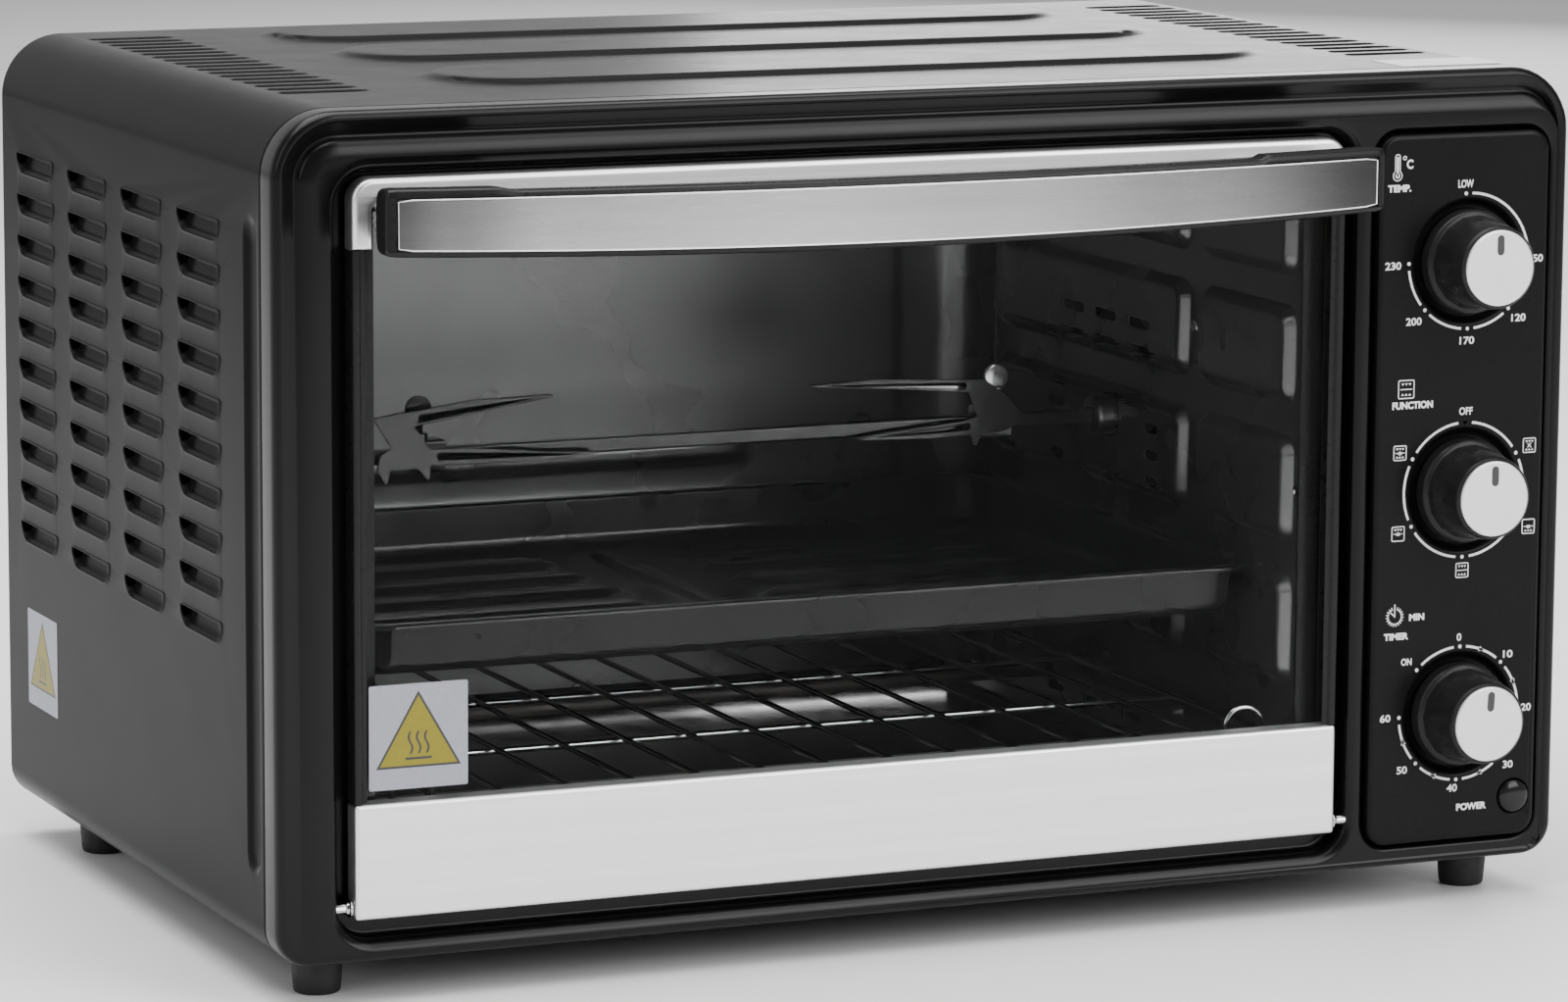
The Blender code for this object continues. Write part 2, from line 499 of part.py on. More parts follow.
# ------------------------------------------------------------------ convection fan
cylinder("fan_motor", p(198.5, FAN_Y, FAN_Z), (1, 0, 0), 17.0, 31.0, STEEL, seg=20)
fan = cylinder("fan_blade", p(168.0, FAN_Y, FAN_Z), (1, 0, 0), 6.0, 10.0, ENAMEL, seg=12, origin=p(168, FAN_Y, FAN_Z))
for k in range(6):
    bm = box_bm(-5.0 + 168, 3.8 + 168, FAN_Y - 0.5, FAN_Y + 0.5, FAN_Z + 3, FAN_Z + FAN_R)
    c = p(168, FAN_Y, FAN_Z)
    bmesh.ops.transform(bm, matrix=Matrix.Translation(c) @ Matrix.Rotation(math.radians(60 * k), 4, "X")
                        @ Matrix.Translation(-c), verts=bm.verts)
    boolean(fan, from_bmesh(f"add_fan_blade_{k}", bm, cutter=True), "UNION")
boolean(fan, cylinder("cut_fan_bore", p(172, FAN_Y, FAN_Z), (1, 0, 0), 2.5, 6, cutter=True, seg=10))

cylinder("fan_shaft", p(176.0, FAN_Y, FAN_Z), (1, 0, 0), 2.1, 13.0, STEEL, seg=10, origin=p(168, FAN_Y, FAN_Z))

# ------------------------------------------------------------------ rack and trays
RX0, RX1, RY0, RY1 = -226.0, 156.0, 24.0, 298.0
rack = box("wire_rack", RX0, RX1, RY0, RY1, RACK_Z - 1.5, RACK_Z + 1.5, CHROME)
N_GAPS = 14
pitch = (RX1 - RX0 - 3.0) / N_GAPS
for k in range(N_GAPS):
    a = RX0 + 3.0 + k * pitch
    boolean(rack, box(f"cut_rack_{k}", a, a + pitch - 3.0, RY0 + 3.0, RY1 - 3.0, RACK_Z - 9, RACK_Z + 9, cutter=True))
for side, xa, xb in (("left", -218.0, -202.0), ("right", 132.0, 148.0)):
    sweep(f"rack_hook_{side}", [p(xa, RY0 - 1.8, RACK_Z), p(xa, RY0 - 1.8, RACK_Z + 9), p(xa + 4, RY0 - 1.8, RACK_Z + 12.5),
                                p(xb - 4, RY0 - 1.8, RACK_Z + 12.5), p(xb, RY0 - 1.8, RACK_Z + 9), p(xb, RY0 - 1.8, RACK_Z)], 1.3, CHROME)


def pan(name, x0, x1, y0, y1, z_floor, z_rim, wall, taper, rim, mat, r=14.0, seg=3):
    """Pressed tray: an open tapered pan with a flat rim, given thickness inwards."""
    body = box(name, x0, x1, y0, y1, z_rim - wall, z_rim, mat, round_axis="Z", radius=r, seg=seg)
    bm = box_bm(x0 + rim, x1 - rim, y0 + rim, y1 - rim, z_floor, z_rim - wall / 2)
    for v in bm.verts:
        if v.co.z < (z_floor + 1) * MM:
            cx, cy = (x0 + x1) / 2 * MM, ((y0 + y1) / 2 - Y_SHIFT) * MM
            v.co.x -= math.copysign(taper * MM, v.co.x - cx)
            v.co.y -= math.copysign(taper * MM, v.co.y - cy)
    boolean(body, from_bmesh(f"add_{name}_bowl", bm, cutter=True), "UNION")
    bm = box_bm(x0 + rim + wall, x1 - rim - wall, y0 + rim + wall, y1 - rim - wall, z_floor + wall, z_rim + 6)
    for v in bm.verts:
        if v.co.z < (z_floor + wall + 1) * MM:
            cx, cy = (x0 + x1) / 2 * MM, ((y0 + y1) / 2 - Y_SHIFT) * MM
            v.co.x -= math.copysign(taper * MM, v.co.x - cx)
            v.co.y -= math.copysign(taper * MM, v.co.y - cy)
    boolean(body, from_bmesh(f"cut_{name}_bowl", bm, cutter=True))
    return body


pan("baking_tray", -226.0, 156.0, 38.0, 298.0, TRAY_FLOOR_Z, TRAY_RIM_Z, 1.0, 3.0, 6.5, TRAY_ENAMEL)
crumb = box("crumb_tray", -227.5, 157.5, 18.0, 338.0, 36.5, 45.5, TRAY_ENAMEL)
boolean(crumb, box("cut_crumb_bowl", -226.5, 156.5, 19.0, 337.0, 37.5, 60, cutter=True))
boolean(crumb, box("add_crumb_pull", -60.0, -10.0, 336.9, 346.0, 38.5, 39.7, cutter=True), "UNION")
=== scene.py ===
"""Looks of the rotisserie oven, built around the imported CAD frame.

Helper points are given in millimetres: X across (0 in the middle), D depth from the
plane of the door trim (positive to the rear) and Z up from the surface it stands on.
"""
import math

import bmesh
import bpy
import numpy as np
from mathutils import Matrix, Vector
from mathutils.geometry import delaunay_2d_cdt

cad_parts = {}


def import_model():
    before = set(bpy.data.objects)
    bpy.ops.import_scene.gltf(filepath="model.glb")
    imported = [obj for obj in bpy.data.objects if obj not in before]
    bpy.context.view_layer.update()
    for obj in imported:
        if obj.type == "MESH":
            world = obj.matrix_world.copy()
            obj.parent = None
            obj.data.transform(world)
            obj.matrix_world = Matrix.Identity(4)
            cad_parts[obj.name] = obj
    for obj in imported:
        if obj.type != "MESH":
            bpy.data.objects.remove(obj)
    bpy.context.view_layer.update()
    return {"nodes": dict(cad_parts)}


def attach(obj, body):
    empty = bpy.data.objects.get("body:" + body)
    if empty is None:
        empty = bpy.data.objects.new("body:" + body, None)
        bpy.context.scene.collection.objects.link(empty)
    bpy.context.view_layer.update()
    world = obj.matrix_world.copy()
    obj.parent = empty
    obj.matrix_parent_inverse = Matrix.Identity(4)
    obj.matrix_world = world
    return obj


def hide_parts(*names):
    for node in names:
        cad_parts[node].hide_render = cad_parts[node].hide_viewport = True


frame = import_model()
NODES = frame["nodes"]
D0 = 150.55
scene = bpy.context.scene


def W(x, d, z):
    return Vector((x * 0.001, (d - D0) * 0.001, z * 0.001))


# ------------------------------------------------------------------ camera
YAW, PITCH, ROLL = 0.412415669, 0.162248192, 0.00590446553
CAM_AT = Vector((-1.01448, -2.31325, 0.56613))


def camera():
    cam = bpy.data.cameras.new("photo_camera")
    cam.sensor_fit = "HORIZONTAL"
    cam.sensor_width = 36.0
    cam.lens = 145.754
    cam.clip_start, cam.clip_end = 0.05, 60.0
    obj = bpy.data.objects.new("photo_camera", cam)
    scene.collection.objects.link(obj)
    cy, sy = math.cos(YAW), math.sin(YAW)
    cp, sp = math.cos(PITCH), math.sin(PITCH)
    cr, sr = math.cos(ROLL), math.sin(ROLL)
    rz = Matrix(((cy, -sy, 0), (sy, cy, 0), (0, 0, 1)))
    base = Matrix(((1, 0, 0), (0, 0, -1), (0, 1, 0)))
    rp = Matrix(((1, 0, 0), (0, cp, -sp), (0, sp, cp)))
    rr = Matrix(((cr, -sr, 0), (sr, cr, 0), (0, 0, 1)))
    m = rr @ rp @ base @ rz
    rot = Matrix((m[0], -m[1], -m[2])).transposed()
    obj.matrix_world = Matrix.Translation(CAM_AT) @ rot.to_4x4()
    scene.camera = obj
    return obj


camera()

# ------------------------------------------------------------------ materials


class Mat:
    """A Principled material with small helpers for its procedural detail."""

    def __init__(self, name, base, rough, metal=0.0):
        self.m = bpy.data.materials.new(name)
        self.m.use_nodes = True
        self.nt = self.m.node_tree
        self.b = self.nt.nodes["Principled BSDF"]
        self.b.inputs["Base Color"].default_value = (*base, 1)
        self.b.inputs["Roughness"].default_value = rough
        self.b.inputs["Metallic"].default_value = metal
        self.base, self.rough = base, rough
        self.co = self.nt.nodes.new("ShaderNodeTexCoord")
        self.last_bump = None

    def node(self, kind, **props):
        n = self.nt.nodes.new(kind)
        for k, v in props.items():
            setattr(n, k, v)
        return n

    def link(self, a, b):
        self.nt.links.new(a, b)

    def mapped(self, scale=(1, 1, 1), rot=(0, 0, 0)):
        mp = self.node("ShaderNodeMapping")
        mp.inputs["Scale"].default_value = scale
        mp.inputs["Rotation"].default_value = rot
        self.link(self.co.outputs["Object"], mp.inputs["Vector"])
        return mp.outputs["Vector"]

    def noise(self, scale, detail=2.0, rough=0.5, stretch=(1, 1, 1), distortion=0.0):
        n = self.node("ShaderNodeTexNoise")
        n.inputs["Scale"].default_value = scale
        n.inputs["Detail"].default_value = detail
        n.inputs["Roughness"].default_value = rough
        n.inputs["Distortion"].default_value = distortion
        self.link(self.mapped(stretch), n.inputs["Vector"])
        return n.outputs["Fac"]

    def ramp(self, fac, stops):
        r = self.node("ShaderNodeValToRGB")
        e = r.color_ramp.elements
        while len(e) < len(stops):
            e.new(0.5)
        for el, (pos, col) in zip(e, stops):
            el.position = pos
            el.color = (*col, 1) if len(col) == 3 else col
        self.link(fac, r.inputs["Fac"])
        return r.outputs["Color"]

    def span(self, fac, lo, hi, f0=0.3, f1=0.7):
        r = self.node("ShaderNodeMapRange")
        r.inputs["From Min"].default_value = f0
        r.inputs["From Max"].default_value = f1
        r.inputs["To Min"].default_value = lo
        r.inputs["To Max"].default_value = hi
        self.link(fac, r.inputs["Value"])
        return r.outputs["Result"]

    def colour_from(self, fac, dark, light, f0=0.3, f1=0.7):
        self.link(self.ramp(fac, [(f0, dark), (f1, light)]), self.b.inputs["Base Color"])
        return self

    def rough_from(self, fac, lo, hi, f0=0.3, f1=0.7):
        self.link(self.span(fac, lo, hi, f0, f1), self.b.inputs["Roughness"])
        return self

    def bump(self, fac, strength, distance):
        n = self.node("ShaderNodeBump")
        n.inputs["Strength"].default_value = strength
        n.inputs["Distance"].default_value = distance
        self.link(fac, n.inputs["Height"])
        if self.last_bump:
            self.link(self.last_bump, n.inputs["Normal"])
        self.last_bump = n.outputs["Normal"]
        self.link(n.outputs["Normal"], self.b.inputs["Normal"])
        return self

    def set(self, **sockets):
        for k, v in sockets.items():
            self.b.inputs[k.replace("_", " ")].default_value = v
        return self


def satin_paint(name, tone, rough, grain=1600.0, spec=1.27):
    m = Mat(name, (tone, tone, tone * 1.04), rough)
    big = m.noise(14.0, 3.0)
    m.colour_from(big, (tone * 0.9, tone * 0.9, tone * 0.93), (tone * 1.12, tone * 1.12, tone * 1.16))
    m.rough_from(m.noise(42.0, 4.0, 0.6), rough - 0.015, rough + 0.02)
    m.bump(m.noise(grain, 1.0), 0.03, 0.00004)
    m.set(Specular_IOR_Level=0.5, IOR=spec)
    return m.m


def brushed(name, tone, rough, along="x", metal=1.0, fine=1.0):
    """Metal with fine brush lines along one axis."""
    m = Mat(name, (tone, tone, tone * 1.01), rough, metal)
    k = {"x": (2.0, 900, 900), "y": (900, 2.0, 900), "z": (900, 900, 2.0)}[along]
    lines = m.noise(1.0, 3.0, 0.7, tuple(c * fine for c in k))
    k2 = {"x": (0.6, 160, 160), "y": (160, 0.6, 160), "z": (160, 160, 0.6)}[along]
    wide = m.noise(1.0, 2.0, 0.6, k2)
    m.colour_from(wide, (tone * 0.95,) * 3, (min(1, tone * 1.04),) * 3)
    m.rough_from(lines, rough - 0.05, rough + 0.07, 0.25, 0.75)
    m.bump(lines, 0.035, 0.0001)
    return m.m


def spun(name, tone, rough):
    """Satin disc: fine roughness speckle, a faint cloudy tone and a fine bump."""
    m = Mat(name, (tone, tone, tone * 1.01), rough, 0.85)
    cloud = m.noise(90.0, 3.0)
    m.colour_from(cloud, (tone * 0.97,) * 3, (min(1, tone * 1.03),) * 3)
    m.rough_from(m.noise(1500.0, 2.0), rough - 0.04, rough + 0.05)
    m.bump(m.noise(2600.0, 1.0), 0.04, 0.00006)
    return m.m


def moulded(name, tone, rough, grain=2400.0, depth=0.00006):
    m = Mat(name, (tone, tone, tone * 1.03), rough)
    m.colour_from(m.noise(60.0, 3.0), (tone * 0.88,) * 3, (tone * 1.15,) * 3)
    m.rough_from(m.noise(260.0, 3.0, 0.6), rough - 0.05, rough + 0.06)
    m.bump(m.noise(grain, 2.0), 0.05, depth)
    m.set(IOR=1.28)
    return m.m


def plated(name, tone, rough):
    m = Mat(name, (tone, tone, tone * 1.01), rough, 1.0)
    m.colour_from(m.noise(120.0, 3.0), (tone * 0.9,) * 3, (min(1, tone * 1.05),) * 3)
    m.rough_from(m.noise(340.0, 4.0, 0.65), max(0.02, rough - 0.05), rough + 0.08)
    m.bump(m.noise(900.0, 2.0), 0.04, 0.00008)
    return m.m


def coated_steel(name, tone, rough, metal):
    """Cavity sheet: dark metallic coating with a cloudy tone and cloudy gloss."""
    m = Mat(name, (tone, tone, tone * 1.01), rough, metal)
    m.colour_from(m.noise(9.0, 3.0, 0.55), (tone * 0.82,) * 3, (tone * 1.16,) * 3)
    m.rough_from(m.noise(18.0, 2.0, 0.5), rough - 0.02, rough + 0.03)
    return m.m


def glass(name):
    """Clear pane: bends and mirrors for the eye, and lets the lamps through."""
    m = Mat(name, (0.95, 0.955, 0.955), 0.0)
    m.b.inputs["Transmission Weight"].default_value = 1.0
    m.colour_from(m.noise(20.0, 2.0), (0.93, 0.935, 0.935), (0.97, 0.97, 0.97))
    m.set(IOR=1.09)
    path = m.node("ShaderNodeLightPath")
    clear = m.node("ShaderNodeBsdfTransparent")
    clear.inputs["Color"].default_value = (0.86, 0.88, 0.87, 1)
    mix = m.node("ShaderNodeMixShader")
    out = m.nt.nodes["Material Output"]
    m.link(path.outputs["Is Shadow Ray"], mix.inputs["Fac"])
    m.link(m.b.outputs["BSDF"], mix.inputs[1])
    m.link(clear.outputs["BSDF"], mix.inputs[2])
    m.link(mix.outputs["Shader"], out.inputs["Surface"])
    return m.m


def ink(name, col, rough=0.5):
    m = Mat(name, col, rough)
    m.colour_from(m.noise(700.0, 3.0), tuple(c * 0.93 for c in col), tuple(min(1, c * 1.03) for c in col))
    m.rough_from(m.noise(900.0, 2.0), rough - 0.05, rough + 0.05)
    m.bump(m.noise(3000.0, 1.0), 0.05, 0.00003)
    return m.m


def rubber(name, tone):
    m = Mat(name, (tone, tone, tone), 0.62)
    m.colour_from(m.noise(150.0, 4.0), (tone * 0.8,) * 3, (tone * 1.35,) * 3)
    m.rough_from(m.noise(320.0, 4.0), 0.55, 0.72)
    m.bump(m.noise(1400.0, 3.0), 0.18, 0.00012)
    return m.m


def gloss_enamel(name, tone, rough):
    m = Mat(name, (tone, tone, tone * 1.02), rough)
    m.colour_from(m.noise(25.0, 3.0), (tone * 0.8,) * 3, (tone * 1.3,) * 3)
    m.rough_from(m.noise(70.0, 4.0, 0.6), rough - 0.04, rough + 0.06)
    m.bump(m.noise(260.0, 2.0), 0.035, 0.0003)
    m.set(IOR=1.3)
    m.b.inputs["Coat Weight"].default_value = 0.04
    m.b.inputs["Coat Roughness"].default_value = 0.05
    return m.m


def blued_sheath(name):
    """Heating element sheath: oxidised grey-brown with soft temper bands along X."""
    m = Mat(name, (0.16, 0.155, 0.15), 0.45, 0.75)
    m.link(m.ramp(m.noise(1.0, 3.0, 0.6, (14, 60, 60)),
                  [(0.3, (0.07, 0.068, 0.07)), (0.5, (0.17, 0.16, 0.155)), (0.72, (0.27, 0.255, 0.24))]),
           m.b.inputs["Base Color"])
    m.rough_from(m.noise(260.0, 3.0), 0.38, 0.58)
    m.bump(m.noise(1300.0, 2.0), 0.12, 0.0001)
    return m.m


def painted_reflection_along_x(mat, stops):
    """Painted reflection: a tone that changes along X, multiplied into the base colour, from (metres, tone) pairs."""
    nt = mat.node_tree
    b = nt.nodes["Principled BSDF"]
    old = b.inputs["Base Color"].links[0].from_socket
    tc = nt.nodes.new("ShaderNodeTexCoord")
    sep = nt.nodes.new("ShaderNodeSeparateXYZ")
    mr = nt.nodes.new("ShaderNodeMapRange")
    lo, hi = stops[0][0], stops[-1][0]
    mr.inputs["From Min"].default_value, mr.inputs["From Max"].default_value = lo, hi
    r = nt.nodes.new("ShaderNodeValToRGB")
    r.color_ramp.interpolation = "EASE"
    e = r.color_ramp.elements
    while len(e) < len(stops):
        e.new(0.5)
    for el, (x, t) in zip(e, stops):
        el.position, el.color = (x - lo) / (hi - lo), (t, t, t, 1)
    mul = nt.nodes.new("ShaderNodeMixRGB")
    mul.blend_type = "MULTIPLY"
    mul.inputs["Fac"].default_value = 1.0
    nt.links.new(tc.outputs["Object"], sep.inputs["Vector"])
    nt.links.new(sep.outputs["X"], mr.inputs["Value"])
    nt.links.new(mr.outputs["Result"], r.inputs["Fac"])
    nt.links.new(old, mul.inputs["Color1"])
    nt.links.new(r.outputs["Color"], mul.inputs["Color2"])
    nt.links.new(mul.outputs["Color"], b.inputs["Base Color"])


PAINT = satin_paint("black_satin_paint", 0.010, 0.25, 1600.0, 1.095)
BEZEL_PAINT = satin_paint("bezel_satin_paint", 0.004, 0.24, 1600.0, 1.27)
PANEL_PAINT = satin_paint("panel_satin_paint", 0.005, 0.28, 2200.0, 1.2)
SILVER = brushed("brushed_silver_trim", 0.90, 0.36, "x")
INLAY = brushed("silver_inlay_painted_reflection", 0.80, 0.24, "x")
# painted reflection on the inlay: darker at both ends and brightest left of middle, as a bowed brushed plate would
# mirror the room
painted_reflection_along_x(INLAY, [(-0.236, 0.14), (-0.215, 0.28), (-0.175, 0.58), (-0.09, 0.66), (0.0, 0.52), (0.08, 0.33), (0.165, 0.07)])

CAP = spun("knob_cap_satin", 0.80, 0.42)
KNOB = moulded("knob_black", 0.013, 0.30)
PLASTIC = moulded("handle_black", 0.008, 0.30)
CHROME = plated("chrome_wire", 0.50, 0.12)
STEEL = plated("plain_steel", 0.22, 0.30)
# painted shade: chrome darkened in its colour so the spit, fork blades and left fork read dark; the right fork and
# screw keep the plain chrome
SHADED_CHROME = plated("chrome_painted_shade", 0.045, 0.13)
ZINC = plated("zinc_case", 0.03, 0.55)
CAVITY = coated_steel("cavity_coating", 0.155, 0.28, 0.9)
# painted shade: a darker copy of the cavity coating, used only on the right wall
SHADED_WALLCOAT = coated_steel("right_wall_coating_painted_shade", 0.13, 0.27, 0.85)
ELEMENT = blued_sheath("element_sheath")
GLASS = glass("door_glass_clear")
RUBBER = rubber("black_rubber", 0.007)
TRAY = gloss_enamel("tray_gloss_enamel", 0.007, 0.12)
LENS = gloss_enamel("lamp_lens_dark", 0.011, 0.09)
WHITE_INK = ink("white_ink", (0.86, 0.86, 0.86), 0.5)
BLACK_INK = ink("black_ink", (0.03, 0.03, 0.03), 0.4)
LABEL_WHITE = ink("label_white_film", (0.33, 0.33, 0.38), 0.42)
LABEL_YELLOW = ink("label_yellow_film", (0.24, 0.20, 0.0005), 0.42)
LABEL_GREY = ink("label_grey_film", (0.48, 0.48, 0.49), 0.35)

# ------------------------------------------------------------------ mesh helpers


def obj_from(name, verts, faces, mat, body, smooth=35.0, merge=0.0, weighted=False, solid=0.0,
             facing=None, bevel=None, subsurf=0, recalc=True):
    """Mesh from millimetre points (X, D, Z); rides on body."""
    bm = bmesh.new()
    vs = [bm.verts.new(W(*v)) for v in verts]
    for f in faces:
        if len(set(f)) >= 3:
            try:
                bm.faces.new([vs[i] for i in f])
            except ValueError:
                pass
    return obj_bm(name, bm, mat, body, smooth, merge, weighted, solid, facing, bevel, subsurf, recalc)


def obj_bm(name, bm, mat, body, smooth=35.0, merge=0.0, weighted=False, solid=0.0, facing=None,
           bevel=None, subsurf=0, recalc=True):
    if merge:
        bmesh.ops.remove_doubles(bm, verts=bm.verts, dist=merge * 0.001)
    loose = [v for v in bm.verts if not v.link_faces]
    if loose:
        bmesh.ops.delete(bm, geom=loose, context="VERTS")
    if recalc:
        bmesh.ops.recalc_face_normals(bm, faces=bm.faces)
    if facing is not None:
        ref = Vector(facing)
        if sum(f.calc_area() * f.normal.dot(ref) for f in bm.faces) < 0:
            bmesh.ops.reverse_faces(bm, faces=bm.faces)
    mesh = bpy.data.meshes.new(name)
    bm.to_mesh(mesh)
    bm.free()
    o = bpy.data.objects.new(name, mesh)
    scene.collection.objects.link(o)
    mesh.materials.append(mat)
    if smooth is not None:
        mesh.shade_smooth()
        mesh.set_sharp_from_angle(angle=math.radians(smooth))
    if bevel:
        b = o.modifiers.new("edge", "BEVEL")
        b.width = bevel[0] * 0.001
        b.segments = bevel[1]
        b.limit_method = "ANGLE"
        b.angle_limit = math.radians(bevel[2] if len(bevel) > 2 else 40)
        b.use_clamp_overlap = True
        b.harden_normals = False
    if solid:
        s = o.modifiers.new("sheet", "SOLIDIFY")
        s.thickness = solid * 0.001
        s.offset = -1.0
        s.use_rim = True
    if subsurf:
        u = o.modifiers.new("subdivide", "SUBSURF")
        u.levels = u.render_levels = subsurf
    if weighted:
        w = o.modifiers.new("normals", "WEIGHTED_NORMAL")
        w.mode = "FACE_AREA"
        w.weight = 100
        w.keep_sharp = True
    if body:
        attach(o, body)
    return o


def rr(x0, x1, z0, z1, r, n=6, off=0.0):
    """Rounded rectangle loop, anticlockwise from the lower right corner; r is one radius or (bottom, top)."""
    rb, rt = (r if isinstance(r, tuple) else (r, r))
    x0, x1, z0, z1 = x0 + off, x1 - off, z0 + off, z1 - off
    rb, rt = max(rb - off, 0.25), max(rt - off, 0.25)
    pts = []
    for cx, cz, q, a0 in ((x1 - rb, z0 + rb, rb, -90), (x1 - rt, z1 - rt, rt, 0), (x0 + rt, z1 - rt, rt, 90), (x0 + rb, z0 + rb, rb, 180)):
        for k in range(n + 1):
            a = math.radians(a0 + 90 * k / n)
            pts.append((cx + q * math.cos(a), cz + q * math.sin(a)))
    return pts


def loft(rings, closed=True, cap_first=False, cap_last=False):
    """Quads between rings of equal length. Returns (verts, faces)."""
    verts = [v for r in rings for v in r]
    n = len(rings[0])
    faces = []
    for k in range(len(rings) - 1):
        for i in range(n if closed else n - 1):
            j = (i + 1) % n
            faces.append((k * n + i, k * n + j, (k + 1) * n + j, (k + 1) * n + i))
    if cap_first:
        faces.append(tuple(range(n))[::-1])
    if cap_last:
        faces.append(tuple(range((len(rings) - 1) * n, len(rings) * n)))
    return verts, faces


def inside(poly, pts):
    """Which points lie in a polygon (even-odd)."""
    poly = np.asarray(poly, float)
    x, y = pts[:, 0], pts[:, 1]
    res = np.zeros(len(pts), bool)
    j = len(poly) - 1
    for i in range(len(poly)):
        xi, yi = poly[i]
        xj, yj = poly[j]
        c = ((yi > y) != (yj > y))
        with np.errstate(divide="ignore", invalid="ignore"):
            t = (xj - xi) * (y - yi) / (yj - yi + 1e-30) + xi
        res ^= c & (x < t)
        j = i
    return res


def flat_mesh(outline, holes=(), loops=(), lines=()):
    """Triangles of a flat region: an outline, holes left open, inner loops and lines kept as edges.
    Returns (points, triangles, source) where source gives each point's first input index."""
    pts, edges = [], []
    for lp in [outline, *holes, *loops]:
        s = len(pts)
        pts += [Vector((p[0], p[1])) for p in lp]
        edges += [(s + i, s + (i + 1) % len(lp)) for i in range(len(lp))]
    for ln in lines:
        s = len(pts)
        pts += [Vector((p[0], p[1])) for p in ln]
        edges += [(s + i, s + i + 1) for i in range(len(ln) - 1)]
    v, _, f, ov, _, _ = delaunay_2d_cdt(pts, edges, [], 0, 1e-5)
    co = np.array([(p[0], p[1]) for p in v])
    tri = np.array([t for t in f if len(t) == 3])
    mid = co[tri].mean(axis=1)
    keep = inside(outline, mid)
    for h in holes:
        h = np.asarray(h)
        lo, hi = h.min(0), h.max(0)
        near = (mid > lo).all(1) & (mid < hi).all(1)
        idx = np.where(near)[0]
        keep[idx[inside(h, mid[idx])]] = False
    return co, tri[keep], [o[0] if o else -1 for o in ov]


def revolve(profile, centre, axis="D", steps=32, mod=None):
    """Turned mesh about an axis. profile: (r, t) with t along the axis. mod(angle, r, t) -> r."""
    rings = []
    for r, t in profile:
        ring = []
        for k in range(steps):
            a = 2 * math.pi * k / steps
            q = mod(a, r, t) if mod else r
            u, v = q * math.cos(a), q * math.sin(a)
            cx, cd, cz = centre
            ring.append({"D": (cx + u, cd + t, cz + v), "Z": (cx + u, cd + v, cz + t), "X": (cx + t, cd + u, cz + v)}[axis])
        rings.append(ring)
    return loft(rings, True, profile[0][0] > 0.01, profile[-1][0] > 0.01)


def join_data(*parts):
    verts, faces = [], []
    for v, f in parts:
        s = len(verts)
        verts += list(v)
        faces += [tuple(i + s for i in q) for q in f]
    return verts, faces


def tube(points, radius, steps=8, caps=True, closed=False):
    """Round bar through points in mm, as (verts, faces)."""
    P = [Vector(p) for p in points]
    n = len(P)
    rings, ref = [], None
    for i, p in enumerate(P):
        a = P[i - 1] if (i > 0 or closed) else p
        b = P[(i + 1) % n] if (i < n - 1 or closed) else p
        t = (b - a).normalized()
        if ref is None:
            ref = Vector((0, 0, 1)) if abs(t.z) < 0.9 else Vector((1, 0, 0))
        u = t.cross(ref).normalized()
        ref = u.cross(t).normalized()
        r = radius[i] if isinstance(radius, (list, tuple)) else radius
        rings.append([tuple(p + r * (math.cos(2 * math.pi * k / steps) * u + math.sin(2 * math.pi * k / steps) * ref))
                      for k in range(steps)])
    if closed:
        rings.append(rings[0])
        return loft(rings)
    return loft(rings, True, caps, caps)


def smooth_path(points, per=6):
    """Catmull-Rom through points."""
    P = [Vector(points[0])] + [Vector(p) for p in points] + [Vector(points[-1])]
    out = []
    for i in range(1, len(P) - 2):
        for k in range(per):
            t = k / per
            a, b, c, d = P[i - 1], P[i], P[i + 1], P[i + 2]
            out.append(tuple(0.5 * ((2 * b) + (c - a) * t + (2 * a - 5 * b + 4 * c - d) * t * t + (3 * b - a - 3 * c + d) * t ** 3)))
    out.append(tuple(P[-2]))
    return out


def slab(x0, x1, d0, d1, z0, z1):
    v = [(x, d, z) for x in (x0, x1) for d in (d0, d1) for z in (z0, z1)]
    return v, [(0, 1, 3, 2), (4, 6, 7, 5), (0, 4, 5, 1), (2, 3, 7, 6), (0, 2, 6, 4), (1, 5, 7, 3)]


def sstep(t):
    t = min(1.0, max(0.0, t))
    return t * t * (3 - 2 * t)


def stadium(cx, cy, half_len, r, along=0, n=10, off=0.0):
    """Loop round a long slot; along=0 lengthwise in the first coordinate."""
    h, q = half_len - r, max(r - off, 0.05)
    pts = []
    for s, a0 in ((1, -90), (-1, 90)):
        for k in range(n + 1):
            a = math.radians(a0 + 180 * k / n)
            u, v = s * h + q * math.cos(a), q * math.sin(a)
            pts.append((cx + u, cy + v) if along == 0 else (cx - v, cy + u))
    return pts


def drape(node, mat):
    """Give a carried-over CAD node its finished material."""
    o = NODES[node]
    o.data.materials.clear()
    o.data.materials.append(mat)
    return o

# ------------------------------------------------------------------ casing wrap
BX, BZ0, BZ1, RT, RB = 270.0, 16.0, 333.0, 25.0, 13.0
WD0, WD1 = 15.8, 341.4


